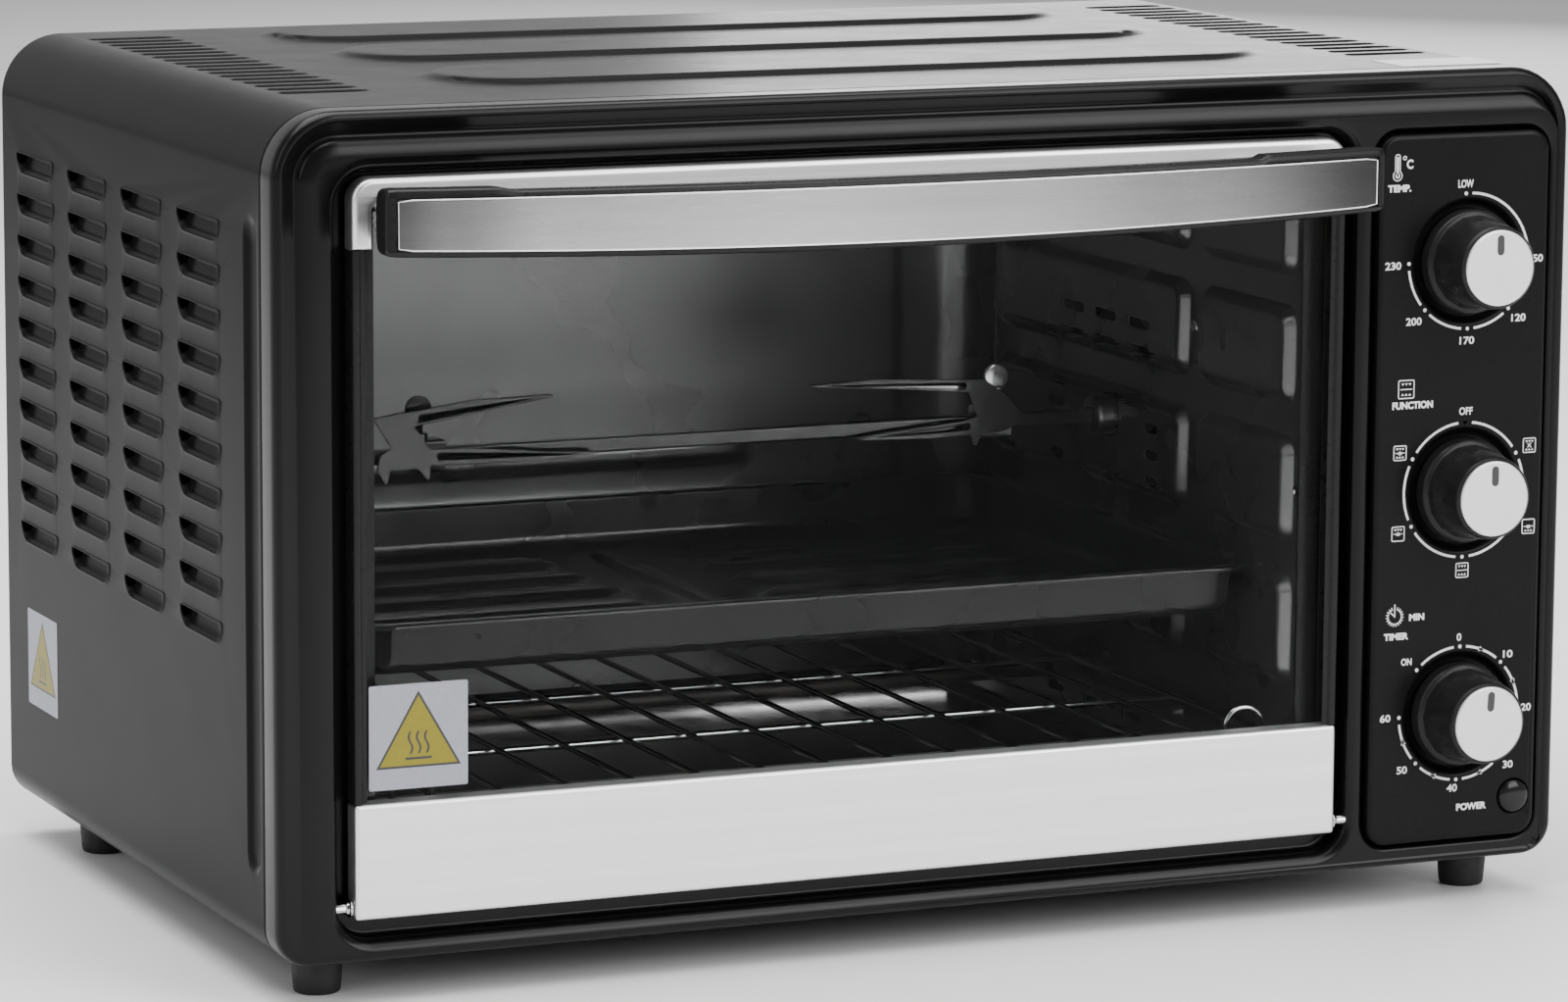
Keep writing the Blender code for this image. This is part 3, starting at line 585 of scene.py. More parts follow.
class WrapPath:
    """The casing's outline as a path: from the right lip round the top to the left lip."""

    def __init__(self):
        segs = []
        def line(a, b, n):
            segs.append(("l", a, b, n))
        def arc(c, r, a0, k):
            segs.append(("a", c, r, a0, k))
        line((232, BZ0), (BX - RB, BZ0), (0, -1))
        arc((BX - RB, BZ0 + RB), RB, -90, 7)
        line((BX, BZ0 + RB), (BX, BZ1 - RT), (1, 0))
        arc((BX - RT, BZ1 - RT), RT, 0, 12)
        line((BX - RT, BZ1), (-BX + RT, BZ1), (0, 1))
        arc((-BX + RT, BZ1 - RT), RT, 90, 12)
        line((-BX, BZ1 - RT), (-BX, BZ0 + RB), (-1, 0))
        arc((-BX + RB, BZ0 + RB), RB, 180, 7)
        line((-BX + RB, BZ0), (-232, BZ0), (0, -1))
        self.segs, self.start, s = segs, [], 0.0
        for g in segs:
            self.start.append(s)
            s += (math.dist(g[1], g[2]) if g[0] == "l" else g[2] * math.pi / 2)
        self.total = s

    def at(self, s, h=0.0):
        s = min(max(s, 0.0), self.total)
        k = max(i for i, v in enumerate(self.start) if v <= s + 1e-9)
        g, t = self.segs[k], s - self.start[k]
        if g[0] == "l":
            d = math.dist(g[1], g[2])
            f = t / d
            return (g[1][0] + (g[2][0] - g[1][0]) * f + g[3][0] * h, g[1][1] + (g[2][1] - g[1][1]) * f + g[3][1] * h)
        a = math.radians(g[3]) + t / g[2]
        return (g[1][0] + (g[2] + h) * math.cos(a), g[1][1] + (g[2] + h) * math.sin(a))

    def right(self, z):
        return self.start[2] + (z - BZ0 - RB)

    def top(self, x):
        return self.start[4] + (BX - RT - x)

    def left(self, z):
        return self.start[6] + (BZ1 - RT - z)


PATH = WrapPath()
LOUVRE_A = [2.4, 4.2, 6.4, 9.5, 12.5, 16.0, 20.0, 25.0, 30.0, 35.0, 39.0, 42.0, 44.6, 46.5, 47.6, 48.0]
LOUVRE_BOTTOM = {2.4: 4.6, 4.2: 6.1, 6.4: 7.0, 42.0: 7.2, 44.6: 6.6, 46.5: 5.0, 47.6: 2.9, 48.0: 0.9}
LOUVRE_OPEN = [(1.1, 2.8), (0.3, 1.2), (0.3, 0.0)]


def louvre_loop(off=0.0):
    """Outline of one louvre: a towards the front from the open rear end, b down from the top edge."""
    top = [(a, 0.0) for a in LOUVRE_A]
    bot = [(a, LOUVRE_BOTTOM.get(a, 7.2)) for a in reversed(LOUVRE_A)]
    loop = top + bot + LOUVRE_OPEN
    if off:
        q = np.array(loop)
        nxt, prv = np.roll(q, -1, 0), np.roll(q, 1, 0)
        t = nxt - prv
        t /= np.linalg.norm(t, axis=1, keepdims=True) + 1e-9
        nrm = np.stack([t[:, 1], -t[:, 0]], 1)
        mid = q.mean(0)
        sign = np.sign(((q - mid) * nrm).sum(1).mean())
        q = q + nrm * off * sign
        return [tuple(v) for v in q]
    return loop


def louvre_depth(a, t):
    """Depth of the scoop at a along it and t (0 top to 1 bottom) across it."""
    deep = 2.9 * sstep((48.3 - a) / 9.0) ** 0.8 * (1.0 + 0.3 * sstep((14.0 - a) / 12.0))
    across = sstep(t / 0.14) * (1.0 - 0.45 * t) * (1.0 - sstep((t - 0.70) / 0.30))
    return deep * across


def casing():
    verts2, heights = [], {}
    outline = [(0.0, WD0), (PATH.total, WD0), (PATH.total, WD1), (0.0, WD1)]
    holes, loops, lines = [], [], []
    # bends are kept as edges so that the rounding is even
    for k, g in enumerate(PATH.segs):
        if g[0] == "a":
            for i in range(g[4] + 1):
                s = PATH.start[k] + g[2] * math.pi / 2 * i / g[4]
                lines.append([(s, WD0), (s, WD1)])
    # hemmed front and rear edges
    hem = {}
    for d, h in ((WD0 + 0.7, -0.15), (WD0 + 1.6, 0.0), (WD1 - 1.6, 0.0), (WD1 - 0.7, -0.15)):
        lines.append([(0.0, d), (PATH.total, d)])
        hem[round(d, 3)] = h
    hem[WD0], hem[WD1] = -0.7, -0.7
    special = []          # (set of loop points) -> height

    def add_loop(loop, h):
        loops.append(loop)
        special.append((np.array(loop), h))

    scoops = []
    for side in ("left", "right"):
        for ry in (319.4, 250.2, 181.0, 111.8):
            for k in range(10):
                zt = 286.8 - 16.86 * k
                def put(loop):
                    return [((PATH.left(zt - b) if side == "left" else PATH.right(zt - b)), ry - a) for a, b in loop]
                edge = put(louvre_loop())
                holes.append(edge)
                special.append((np.array(edge), -0.35))
                add_loop(put(louvre_loop(0.35)), 0.38)
                add_loop(put(louvre_loop(0.8)), 0.45)
                add_loop(put(louvre_loop(1.5)), 0.0)
                scoops.append((side, ry, zt))
        # upright bead near the front edge, pressed in
        zc, half = 170.0, 122.0
        s_mid = PATH.left(zc) if side == "left" else PATH.right(zc)
        for off, h in ((-1.2, 0.0), (0.0, -0.35), (1.2, -1.25), (2.6, -1.8), (4.6, -2.0)):
            add_loop(stadium(s_mid, 28.0, half - off, 6.8, 0, 8, off), h)
    # slots in the top, edges rolled in
    for sx in (-1, 1):
        for k in range(18):
            d = 306.4 - 13.77 * k
            c = PATH.top(sx * -(270 - 44.6)) if sx > 0 else PATH.top(270 - 44.6)
            sl = stadium(c, d, 16.4, 3.3, 0, 6)
            holes.append(sl)
            special.append((np.array(sl), -0.8))
            add_loop(stadium(c, d, 16.4 + 0.6, 3.3, 0, 6, -0.6), -0.28)
            add_loop(stadium(c, d, 16.4 + 1.2, 3.3, 0, 6, -1.2), 0.0)
    # three long raised pads across the top
    for dc, r in ((293.6, 27.0), (205.5, 28.5), (107.0, 30.5)):
        c = PATH.top(5.0)
        for off, h in ((-3.4, 0.0), (-2.2, 0.12), (-1.0, 0.5), (0.0, 1.1), (0.8, 1.5), (1.8, 1.72), (3.4, 1.8)):
            add_loop(stadium(c, dc, 174.0 - off, r, 0, 22, off), h)
    co, tri, src = flat_mesh(outline, holes, loops, lines)
    h = np.zeros(len(co))
    from_key = {}
    for arr, hh in special:
        for p in arr:
            from_key[(round(p[0], 3), round(p[1], 3))] = hh
    for i, (s, d) in enumerate(co):
        v = from_key.get((round(s, 3), round(d, 3)))
        if v is None:
            v = hem.get(round(d, 3), 0.0)
        h[i] = v
    verts = []
    for (s, d), hh in zip(co, h):
        x, z = PATH.at(s, hh)
        verts.append((x, d, z))
    faces = [tuple(t) for t in tri]
    # scooped tongues, stitched to the outlines
    T = [0.0, 0.05, 0.11, 0.17, 0.3, 0.5, 0.68, 0.76, 0.84, 0.92, 1.0]
    for side, ry, zt in scoops:
        base = len(verts)
        for a in LOUVRE_A:
            bot = LOUVRE_BOTTOM.get(a, 7.2)
            for t in T:
                z = zt - bot * t
                s = PATH.left(z) if side == "left" else PATH.right(z)
                rim = -0.35
                x, zz = PATH.at(s, rim - louvre_depth(a, t))
                verts.append((x, ry - a, zz))
        n = len(T)
        for i in range(len(LOUVRE_A) - 1):
            for j in range(n - 1):
                faces.append((base + i * n + j, base + i * n + j + 1, base + (i + 1) * n + j + 1, base + (i + 1) * n + j))
    o = obj_from("casing_shell", verts, faces, PAINT, "oven", smooth=52, merge=0.02,
                 weighted=True, solid=0.7, facing=None, recalc=True)
    # outward facing
    m = o.data
    acc = sum(p.area * (p.normal.dot(Vector((p.center.x, 0, p.center.z - 0.17)))) for p in m.polygons)
    if acc < 0:
        m.flip_normals()
    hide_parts("casing_wrap")
    return o


casing()

# ------------------------------------------------------------------ front bezel
RX0, RX1, RZ0, RZ1 = -245.5, 175.5, 24.0, 311.0       # door recess
PX0, PX1, PZ0, PZ1 = 184.5, 260.0, 25.5, 308.5        # control panel


def ring3(loop, d):
    return [(x, d, z) for x, z in loop]


def bezel():
    n = 10
    def outer(off, deep, flat):
        """One ring: the groove runs over the top and down the left, and fades out below and on the right."""
        loop = rr(-BX + off, BX - min(off, 5.5), BZ0 + min(off, 3.2), BZ1 - off, (max(RB - off, 4.0), max(RT - off * 0.9, 6.0)), n)
        ring = []
        for x, z in loop:
            w = sstep((z - 30.0) / 50.0) * (1.0 - sstep((x - 245.0) / 18.0) * (1.0 - sstep((z - 296.0) / 20.0)))
            ring.append((x, flat + (deep - flat) * w, z))
        return ring
    front = 1.5
    rim = [outer(0.0, 15.2, 15.2), outer(0.0, 6.0, 6.0), outer(0.15, 4.2, 4.2), outer(0.8, 2.6, 2.6), outer(1.7, 1.8, 1.9), outer(2.7, 1.55, 1.6),
           outer(3.6, 1.7, 1.5), outer(4.6, 2.3, 1.5), outer(7.6, 4.4, 1.5), outer(8.8, 5.0, 1.5), outer(9.5, 5.0, 1.5), outer(10.0, 4.6, 1.5),
           outer(10.5, 3.9, 1.5), outer(11.0, 3.3, 1.5), outer(11.8, 2.75, 1.5), outer(12.8, 2.3, 1.5), outer(13.9, 1.95, 1.5),
           outer(15.0, 1.7, 1.5), outer(16.2, 1.55, 1.5), outer(17.0, front, front)]
    v, f = loft(rim)
    plateau = [(x, z) for x, d, z in rim[-1]]
    rec0 = rr(RX0, RX1, RZ0, RZ1, 13.0, n, -4.5)
    pan0 = rr(PX0, PX1, PZ0, PZ1, 9.5, n, -3.2)
    co, tri, _ = flat_mesh(plateau, [rec0, pan0])
    parts = [(v, f), ([(x, front, z) for x, z in co], [tuple(t) for t in tri])]
    rec = []
    for off, d in ((-4.5, front), (-3.4, 1.7), (-2.2, 2.2), (-1.2, 3.0), (-0.5, 4.2), (-0.1, 5.8), (0.0, 8.0), (0.2, 10.6), (0.9, 11.6), (2.0, 12.0)):
        rec.append(ring3(rr(RX0, RX1, RZ0, RZ1, 13.0, n, off), d))
    rec.append(ring3(rr(-229.0, 159.0, 44.8, 301.2, 7.5, n), 12.0))
    rec.append(ring3(rr(-227.8, 157.8, 45.8, 300.2, 6.5, n), 12.4))
    rec.append(ring3(rr(-227.5, 157.5, 46.0, 300.0, 6.0, n), 13.4))
    parts.append(loft(rec))
    pan = []
    for off, d in ((-3.2, front), (-2.6, 1.62), (-1.9, 2.1), (-1.4, 3.0), (-1.2, 4.4), (-0.6, 5.2), (1.0, 5.4)):
        pan.append(ring3(rr(PX0, PX1, PZ0, PZ1, 9.5, n, off), d))
    parts.append(loft(pan))
    v, f = join_data(*parts)
    o = obj_from("bezel_shell", v, f, BEZEL_PAINT, "oven", smooth=50, merge=0.005,
                 weighted=True, solid=0.6, facing=(0, -1, 0))
    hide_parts("front_bezel")


bezel()

# ------------------------------------------------------------------ control panel
KX = 224.5
KZ = {"temp": 257.8, "function": 166.8, "timer": 76.9}
LAMP = (250.3, 41.3)


def circle(cx, cz, r, n=48):
    return [(cx + r * math.cos(2 * math.pi * k / n), cz + r * math.sin(2 * math.pi * k / n)) for k in range(n)]


def panel():
    n = 8
    y = -0.8
    rings = [ring3(rr(PX0, PX1, PZ0, PZ1, 8.0, n, off), d) for off, d in
             ((0.0, 5.0), (0.0, 1.0), (0.15, 0.2), (0.55, -0.35), (1.2, -0.65), (2.0, -0.78), (2.8, y))]
    parts = [loft(rings)]
    outline = rr(PX0, PX1, PZ0, PZ1, 8.0, n, 2.8)
    holes = [circle(KX, kz, 25.6) for kz in KZ.values()] + [circle(LAMP[0], LAMP[1], 7.6, 32)]
    co, tri, _ = flat_mesh(outline, holes)
    parts.append(([(x, y, z) for x, z in co], [tuple(t) for t in tri]))
    for kz in KZ.values():
        dish = [ring3(circle(KX, kz, r), d) for r, d in ((25.6, y), (25.1, -0.7), (24.4, -0.3), (23.8, 0.4), (23.3, 1.3), (22.6, 2.0), (21.4, 2.35), (18.0, 2.4), (6.0, 2.4), (3.6, 2.4))]
        parts.append(loft(dish))
    dish = [ring3(circle(LAMP[0], LAMP[1], r, 32), d) for r, d in ((7.6, y), (7.3, -0.7), (7.0, -0.3), (6.95, 0.6), (6.95, 1.2))]
    parts.append(loft(dish))
    v, f = join_data(*parts)
    o = obj_from("control_panel_plate", v, f, PANEL_PAINT, "oven", smooth=50, merge=0.005,
                 weighted=True, solid=0.5, facing=(0, -1, 0))
    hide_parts("control_panel")


panel()

# printed dials: thin ink bodies just proud of the plate
INK0, INK1 = -0.80, -0.84
INK_PARTS = []


def ink_poly(loop, d0=INK0, d1=INK1, store=None):
    n = len(loop)
    v = [(x, d0, z) for x, z in loop] + [(x, d1, z) for x, z in loop]
    co, tri, src = flat_mesh(loop)
    f = [(i, (i + 1) % n, n + (i + 1) % n, n + i) for i in range(n)]
    base = len(v)
    v += [(x, d1, z) for x, z in co] + [(x, d0, z) for x, z in co]
    f += [tuple(base + i for i in t) for t in tri] + [tuple(base + len(co) + i for i in t[::-1]) for t in tri]
    (INK_PARTS if store is None else store).append((v, f))


def ink_arc(cx, cz, r, a0, a1, w=1.0, store=None):
    """Arc between clock angles (degrees clockwise from the top)."""
    n = max(2, int(abs(a1 - a0) / 4))
    def pt(q, a):
        t = math.radians(90 - a)
        return (cx + q * math.cos(t), cz + q * math.sin(t))
    outer = [pt(r + w / 2, a0 + (a1 - a0) * k / n) for k in range(n + 1)]
    inner = [pt(r - w / 2, a0 + (a1 - a0) * k / n) for k in range(n + 1)]
    v, f = [], []
    for d in (INK0, INK1):
        v += [(x, d, z) for x, z in outer] + [(x, d, z) for x, z in inner]
    m = n + 1
    for k in range(n):
        f.append((2 * m + k, 2 * m + k + 1, 3 * m + k + 1, 3 * m + k))
        f.append((k + 1, k, m + k, m + k + 1))
        f.append((k, k + 1, 2 * m + k + 1, 2 * m + k))
        f.append((m + k + 1, m + k, 3 * m + k, 3 * m + k + 1))
    f.append((0, 2 * m, 3 * m, m))
    f.append((n, m + n, 3 * m + n, 2 * m + n))
    (INK_PARTS if store is None else store).append((v, f))


def ink_dot(x, z, r=0.78):
    ink_poly(circle(x, z, r, 16))


def ink_line(a, b, w=0.45, store=None, d0=INK0, d1=INK1):
    ax, az = a
    bx, bz = b
    L = math.hypot(bx - ax, bz - az) or 1
    ux, uz = (bx - ax) / L * w / 2, (bz - az) / L * w / 2
    ink_poly([(ax - ux + uz, az - uz - ux), (bx + ux + uz, bz + uz - ux), (bx + ux - uz, bz + uz + ux), (ax - ux - uz, az - uz + ux)],
             d0, d1, store)


def ink_ring_rect(cx, cz, w, h, t=0.42, r=0.7):
    o = rr(cx - w / 2, cx + w / 2, cz - h / 2, cz + h / 2, r, 3)
    i = rr(cx - w / 2, cx + w / 2, cz - h / 2, cz + h / 2, r, 3, t)
    n = len(o)
    v = [(x, INK1, z) for x, z in o] + [(x, INK1, z) for x, z in i] + [(x, INK0, z) for x, z in o] + [(x, INK0, z) for x, z in i]
    f = []
    for k in range(n):
        j = (k + 1) % n
        f += [(k, j, n + j, n + k), (2 * n + j, 2 * n + k, 3 * n + k, 3 * n + j), (j, k, 2 * n + k, 2 * n + j), (n + k, n + j, 3 * n + j, 3 * n + k)]
    INK_PARTS.append((v, f))


def ink_text(text, cx, cz, height, width=None, bold=0.16, name=None):
    """Sans lettering as a flat mesh, centred on (cx, cz), capital height in mm."""
    c = bpy.data.curves.new("tmp_text", "FONT")
    c.body = text
    c.align_x = "LEFT"
    c.size = height / 0.729 * 0.001
    c.offset = bold * 0.001
    c.extrude = 0.00002
    c.resolution_u = 4
    t = bpy.data.objects.new("tmp_text", c)
    scene.collection.objects.link(t)
    bpy.context.view_layer.update()
    mesh = bpy.data.meshes.new_from_object(t.evaluated_get(bpy.context.evaluated_depsgraph_get()))
    co = np.array([v.co for v in mesh.vertices]) * 1000
    faces = [tuple(p.vertices) for p in mesh.polygons]
    bpy.data.objects.remove(t)
    bpy.data.curves.remove(c)
    bpy.data.meshes.remove(mesh)
    lo, hi = co.min(0), co.max(0)
    sx = (width / (hi[0] - lo[0])) if width else 1.0
    sz = height / (hi[1] - lo[1])
    v = [(cx + (p[0] - (lo[0] + hi[0]) / 2) * sx, INK0 - 0.02 - p[2], cz + (p[1] - (lo[1] + hi[1]) / 2) * sz) for p in co]
    INK_PARTS.append((v, faces))


def dial(cz, angles, gaps=6.0, r=26.8):
    """Dots at the clock angles, arcs between consecutive ones."""
    for a in angles:
        t = math.radians(90 - a)
        ink_dot(KX + r * math.cos(t), cz + r * math.sin(t))
    for a, b in zip(angles, angles[1:]):
        ink_arc(KX, cz, r, a + gaps, b - gaps)


# temperature
dial(KZ["temp"], [-4, 90, 137, 180, 226, 270])
ink_text("LOW", 222.42, 288.4, 3.2, 6.9, 0.12)
ink_text("50", 255.7, 257.6, 3.1, 4.5, 0.1)
ink_text("120", 247.5, 234.3, 3.1, 6.5, 0.1)
ink_text("170", 224.4, 226.3, 3.1, 6.6, 0.1)
ink_text("200", 200.4, 234.9, 3.1, 7.0, 0.1)
ink_text("230", 190.7, 257.2, 3.1, 7.1, 0.1)
ink_text("TEMP.", 192.8, 287.6, 2.9, 10.4, 0.2)
ink_text("C", 197.2, 297.0, 3.7, 2.9, 0.18)
ink_arc(194.9, 299.5, 0.68, 0, 360, 0.36)
tx, tz0, tz1 = 191.8, 292.6, 300.9
ink_arc(tx, tz0, 1.95, 28, 332, 0.38)
ink_line((tx - 1.05, tz0 + 1.6), (tx - 1.05, tz1 - 1.0), 0.38)
ink_line((tx + 1.05, tz0 + 1.6), (tx + 1.05, tz1 - 1.0), 0.38)
ink_arc(tx, tz1 - 1.0, 1.05, -90, 90, 0.38)
ink_dot(tx, tz0, 1.05)
ink_line((tx, tz0), (tx, tz1 - 1.3), 0.85)

# function
dial(KZ["function"], [0, 60, 120, 180, 240, 300, 360], 6.5, 26.9)
ink_text("OFF", 224.75, 198.2, 3.1, 6.1, 0.12)
ink_text("FUNCTION", 200.7, 201.8, 3.0, 18.2, 0.2)


def heat_row(cx, cz, w, up, n=3, h=0.9):
    for k in range(n):
        x = cx + (k - (n - 1) / 2) * w / n
        s = 1 if up else -1
        ink_poly([(x - w / n * 0.42, cz), (x + w / n * 0.42, cz), (x, cz + s * h)][::s])


def oven_icon(cx, cz, w, top, bottom, middle):
    ink_ring_rect(cx, cz, w, w * 1.03)
    if top:
        heat_row(cx, cz + w * 0.33, w * 0.66, False)
    if bottom:
        heat_row(cx, cz - w * 0.34, w * 0.66, True)
    if middle == "line":
        ink_line((cx - w * 0.34, cz), (cx + w * 0.34, cz), 0.4)
    if middle == "fan":
        for k in range(4):
            a = math.radians(90 * k + 45)
            ink_line((cx + 0.25 * math.cos(a), cz + 0.25 * math.sin(a)), (cx + 0.95 * math.cos(a), cz + 0.95 * math.sin(a)), 0.4)
    if middle == "spit":
        ink_line((cx - w * 0.34, cz), (cx + w * 0.34, cz), 0.3)
        ink_poly([(cx - 1.2, cz - 0.1), (cx - 0.6, cz - 0.75), (cx + 0.6, cz - 0.75), (cx + 1.2, cz - 0.1), (cx + 0.6, cz + 0.55), (cx - 0.6, cz + 0.55)])


oven_icon(197.7, 208.2, 7.3, True, True, "line")
oven_icon(253.9, 182.9, 5.9, True, True, "fan")
oven_icon(254.3, 150.3, 5.9, False, True, "spit")
oven_icon(224.6, 134.5, 5.9, True, True, "line")
oven_icon(195.4, 150.8, 5.9, True, False, "spit")
oven_icon(195.5, 183.0, 5.9, True, True, "spit")

# timer
dial(KZ["timer"], [-46, 0, 44, 90, 137, 181, 225, 270], 6.0, 26.9)
ink_text("0", 224.0, 107.6, 3.1, 2.1, 0.1)
ink_text("10", 246.4, 99.3, 3.1, 4.4, 0.1)
ink_text("20", 255.3, 77.1, 3.1, 4.6, 0.1)
ink_text("30", 247.6, 54.4, 3.1, 4.6, 0.1)
ink_text("40", 222.3, 46.7, 3.1, 4.7, 0.1)
ink_text("50", 199.4, 55.6, 3.1, 4.7, 0.1)
ink_text("60", 191.4, 77.0, 3.1, 4.7, 0.1)
ink_text("ON", 200.4, 99.2, 2.9, 4.8, 0.12)
for a in (21, 66, 113, 158, 204, 248):
    t = math.radians(90 - a)
    cx, cz = KX + 26.9 * math.cos(t), KZ["timer"] + 26.9 * math.sin(t)
    u = (math.sin(t), -math.cos(t))
    w = (math.cos(t), math.sin(t))
    ink_poly([(cx - u[0] * 1.0 - w[0] * 1.1, cz - u[1] * 1.0 - w[1] * 1.1), (cx + u[0] * 1.5, cz + u[1] * 1.5),
              (cx - u[0] * 1.0 + w[0] * 1.1, cz - u[1] * 1.0 + w[1] * 1.1)])
ink_text("TIMER", 195.5, 109.7, 2.8, 11.0, 0.2)
ink_text("MIN", 204.6, 117.0, 2.8, 6.8, 0.18)
ink_arc(194.7, 117.7, 3.0, 18, 342, 0.55)
for k in range(18):
    a = math.radians(90 - (22 + 316 * k / 17))
    ink_line((194.7 + 3.1 * math.cos(a), 117.7 + 3.1 * math.sin(a)), (194.7 + 3.75 * math.cos(a), 117.7 + 3.75 * math.sin(a)), 0.45)
ink_line((194.7, 117.7), (194.7, 122.4), 0.5)
ink_line((194.7, 117.7), (193.1, 119.2), 0.5)
ink_text("POWER", 231.3, 38.6, 2.9, 13.6, 0.2)
v, f = join_data(*INK_PARTS)
obj_from("panel_print", v, f, WHITE_INK, "oven", smooth=None, recalc=False)

# ------------------------------------------------------------------ knobs
FRONT = -24.6


def knob(key, kz, turn):
    facets = 15
    def mod(a, r, t):
        w = 1.0 - sstep((-6.0 - t) / 13.0) if t < -5.5 else 0.0
        p = 2 * math.pi / facets
        q = (a + 0.21) % p - p / 2
        poly = math.cos(p / 2) / math.cos(q)
        return r * ((1 - w) + w * poly) if -24.0 < t < -5.5 else r
    prof = [(3.5, 2.0), (18.0, 2.0), (19.9, 1.6), (20.5, 0.6), (20.5, -4.0), (20.35, -4.6), (19.9, -5.1), (19.2, -5.5), (18.7, -5.62),
            (18.6, -6.3), (18.35, -8.5), (17.9, -12.5), (17.4, -16.5), (16.9, -20.0), (16.55, -22.4), (16.35, -23.5), (16.05, -24.15), (15.6, -24.5),
            (15.25, -24.55), (15.15, -24.2)]
    rings = []
    steps = 120
    for r, t in prof:
        ring = []
        for k in range(steps):
            a = 2 * math.pi * k / steps
            q = mod(a, r, t)
            ring.append((KX + q * math.cos(a), t, kz + q * math.sin(a)))
        rings.append(ring)
    rings.append([(KX + 1.0 * math.cos(2 * math.pi * k / steps), -24.2, kz + 1.0 * math.sin(2 * math.pi * k / steps)) for k in range(steps)])
    v, f = loft(rings, True, True, True)
    o = obj_from(f"{key}_knob_grip", v, f, KNOB, f"{key}_control", smooth=28, facing=None)
    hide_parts(f"{key}_knob")
    # satin cap with a rolled edge
    cap = [(14.9, -24.25), (14.95, -25.0), (14.85, -25.3), (14.5, -25.5), (13.9, -25.6)]
    rings = [[(KX + r * math.cos(2 * math.pi * k / 96), t, kz + r * math.sin(2 * math.pi * k / 96)) for k in range(96)] for r, t in cap]
    v, f = loft(rings, True, True, True)
    c = obj_from(f"{key}_cap_disc", v, f, CAP, f"{key}_control", smooth=50, facing=None, weighted=True)
    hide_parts(f"{key}_knob_cap")
    # pointer: a shallow black inlay
    lp = stadium(0, 9.0, 4.0, 1.55, 1, 8)
    ca, sa = math.cos(turn), math.sin(turn)
    lp = [(KX + x * ca + z * sa, kz - x * sa + z * ca) for x, z in lp]
    store = []
    ink_poly(lp, -25.58, -25.66, store)
    v, f = join_data(*store)
    obj_from(f"{key}_pointer", v, f, BLACK_INK, f"{key}_control", smooth=None)


knob("temp", KZ["temp"], 0.0)
knob("function", KZ["function"], 0.0)
knob("timer", KZ["timer"], math.radians(3.0))
for k in KZ:
    drape(f"{k}_shaft", STEEL)


def lamp():
    prof = [(6.5, 2.6), (6.5, -1.2), (6.3, -1.6), (5.7, -1.95), (4.6, -2.35), (3.0, -2.7), (1.4, -2.85), (0.2, -2.9)]
    rings = [[(LAMP[0] + r * math.cos(2 * math.pi * k / 40), t, LAMP[1] + r * math.sin(2 * math.pi * k / 40)) for k in range(40)] for r, t in prof]
    v, f = loft(rings, True, True, True)
    o = obj_from("power_lamp_lens", v, f, LENS, "oven", smooth=45)
    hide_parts("power_lamp")


lamp()

# ------------------------------------------------------------------ door
DX0, DX1, DZ0, DZ1 = -240.0, 170.0, 32.2, 308.3


def trim_shell(name, outline_rings, mat, node, slot):
    v, f = loft(outline_rings)
    o = obj_from(name, v, f, mat, "door", smooth=50, merge=0.004, weighted=True, solid=0.7, facing=None)
    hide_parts(node)
    return o


def top_trim():
    """Inverted U of bent sheet: band across the top, a short leg down each side."""
    leg, band, low = 8.0, 297.7, 282.0
    n = 8

    def u_loop(off):
        """Outer and inner outline as one closed loop, in from every edge by off."""
        r_out, r_in = 8.5 - off, 1.2 + off
        x0, x1, z1, z0 = DX0 + off, DX1 - off, DZ1 - off, low + off
        pts = [(x1, z0)]
        for cx, a0 in ((x1 - r_out, 0), (x0 + r_out, 90)):
            for k in range(n + 1):
                a = math.radians(a0 + 90 * k / n)
                pts.append((cx + r_out * math.cos(a), z1 - r_out + r_out * math.sin(a)))
        pts.append((x0, z0))
        xi0, xi1, zi = DX0 + leg - off, DX1 - leg + off, band + off
        pts.append((xi0, z0))
        for cx, a0 in ((xi0 + r_in, 180), (xi1 - r_in, 90)):
            for k in range(5):
                a = math.radians(a0 - 90 * k / 4)
                pts.append((cx + r_in * math.cos(a), zi - r_in + r_in * math.sin(a)))
        pts.append((xi1, z0))
        return pts

    # sides and rounded front edge
    rings = [ring3(u_loop(o), d) for o, d in ((0.0, 8.6), (0.0, 2.2), (0.12, 1.4), (0.45, 0.75), (0.95, 0.28), (1.6, 0.05), (2.3, 0.0))]
    parts = [loft(rings)]
    lp = u_loop(2.3)
    co, tri, _ = flat_mesh(lp)
    parts.append(([(x, 0.0, z) for x, z in co], [tuple(t) for t in tri]))
    v, f = join_data(*parts)
    o = obj_from("door_top_trim_sheet", v, f, SILVER, "door", smooth=50, merge=0.004, weighted=True,
                 solid=0.7, facing=(0, -1, 0))
    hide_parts("door_top_trim")


top_trim()


def bottom_trim():
    z0, z1 = DZ0, DZ0 + 43.8
    rings = [ring3(rr(DX0, DX1, z0, z1, 1.4, 5, o), d) for o, d in
             ((0.0, 8.6), (0.0, 2.0), (0.1, 1.25), (0.4, 0.65), (0.85, 0.22), (1.4, 0.03), (2.0, 0.0))]
    parts = [loft(rings), ([(x, 0.0, z) for x, z in rr(DX0, DX1, z0, z1, 1.4, 5, 2.0)], [tuple(range(24))])]
    v, f = join_data(*parts)
    o = obj_from("door_bottom_trim_sheet", v, f, SILVER, "door", smooth=50, merge=0.004, weighted=True,
                 solid=0.7, facing=(0, -1, 0))
    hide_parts("door_bottom_trim")


bottom_trim()


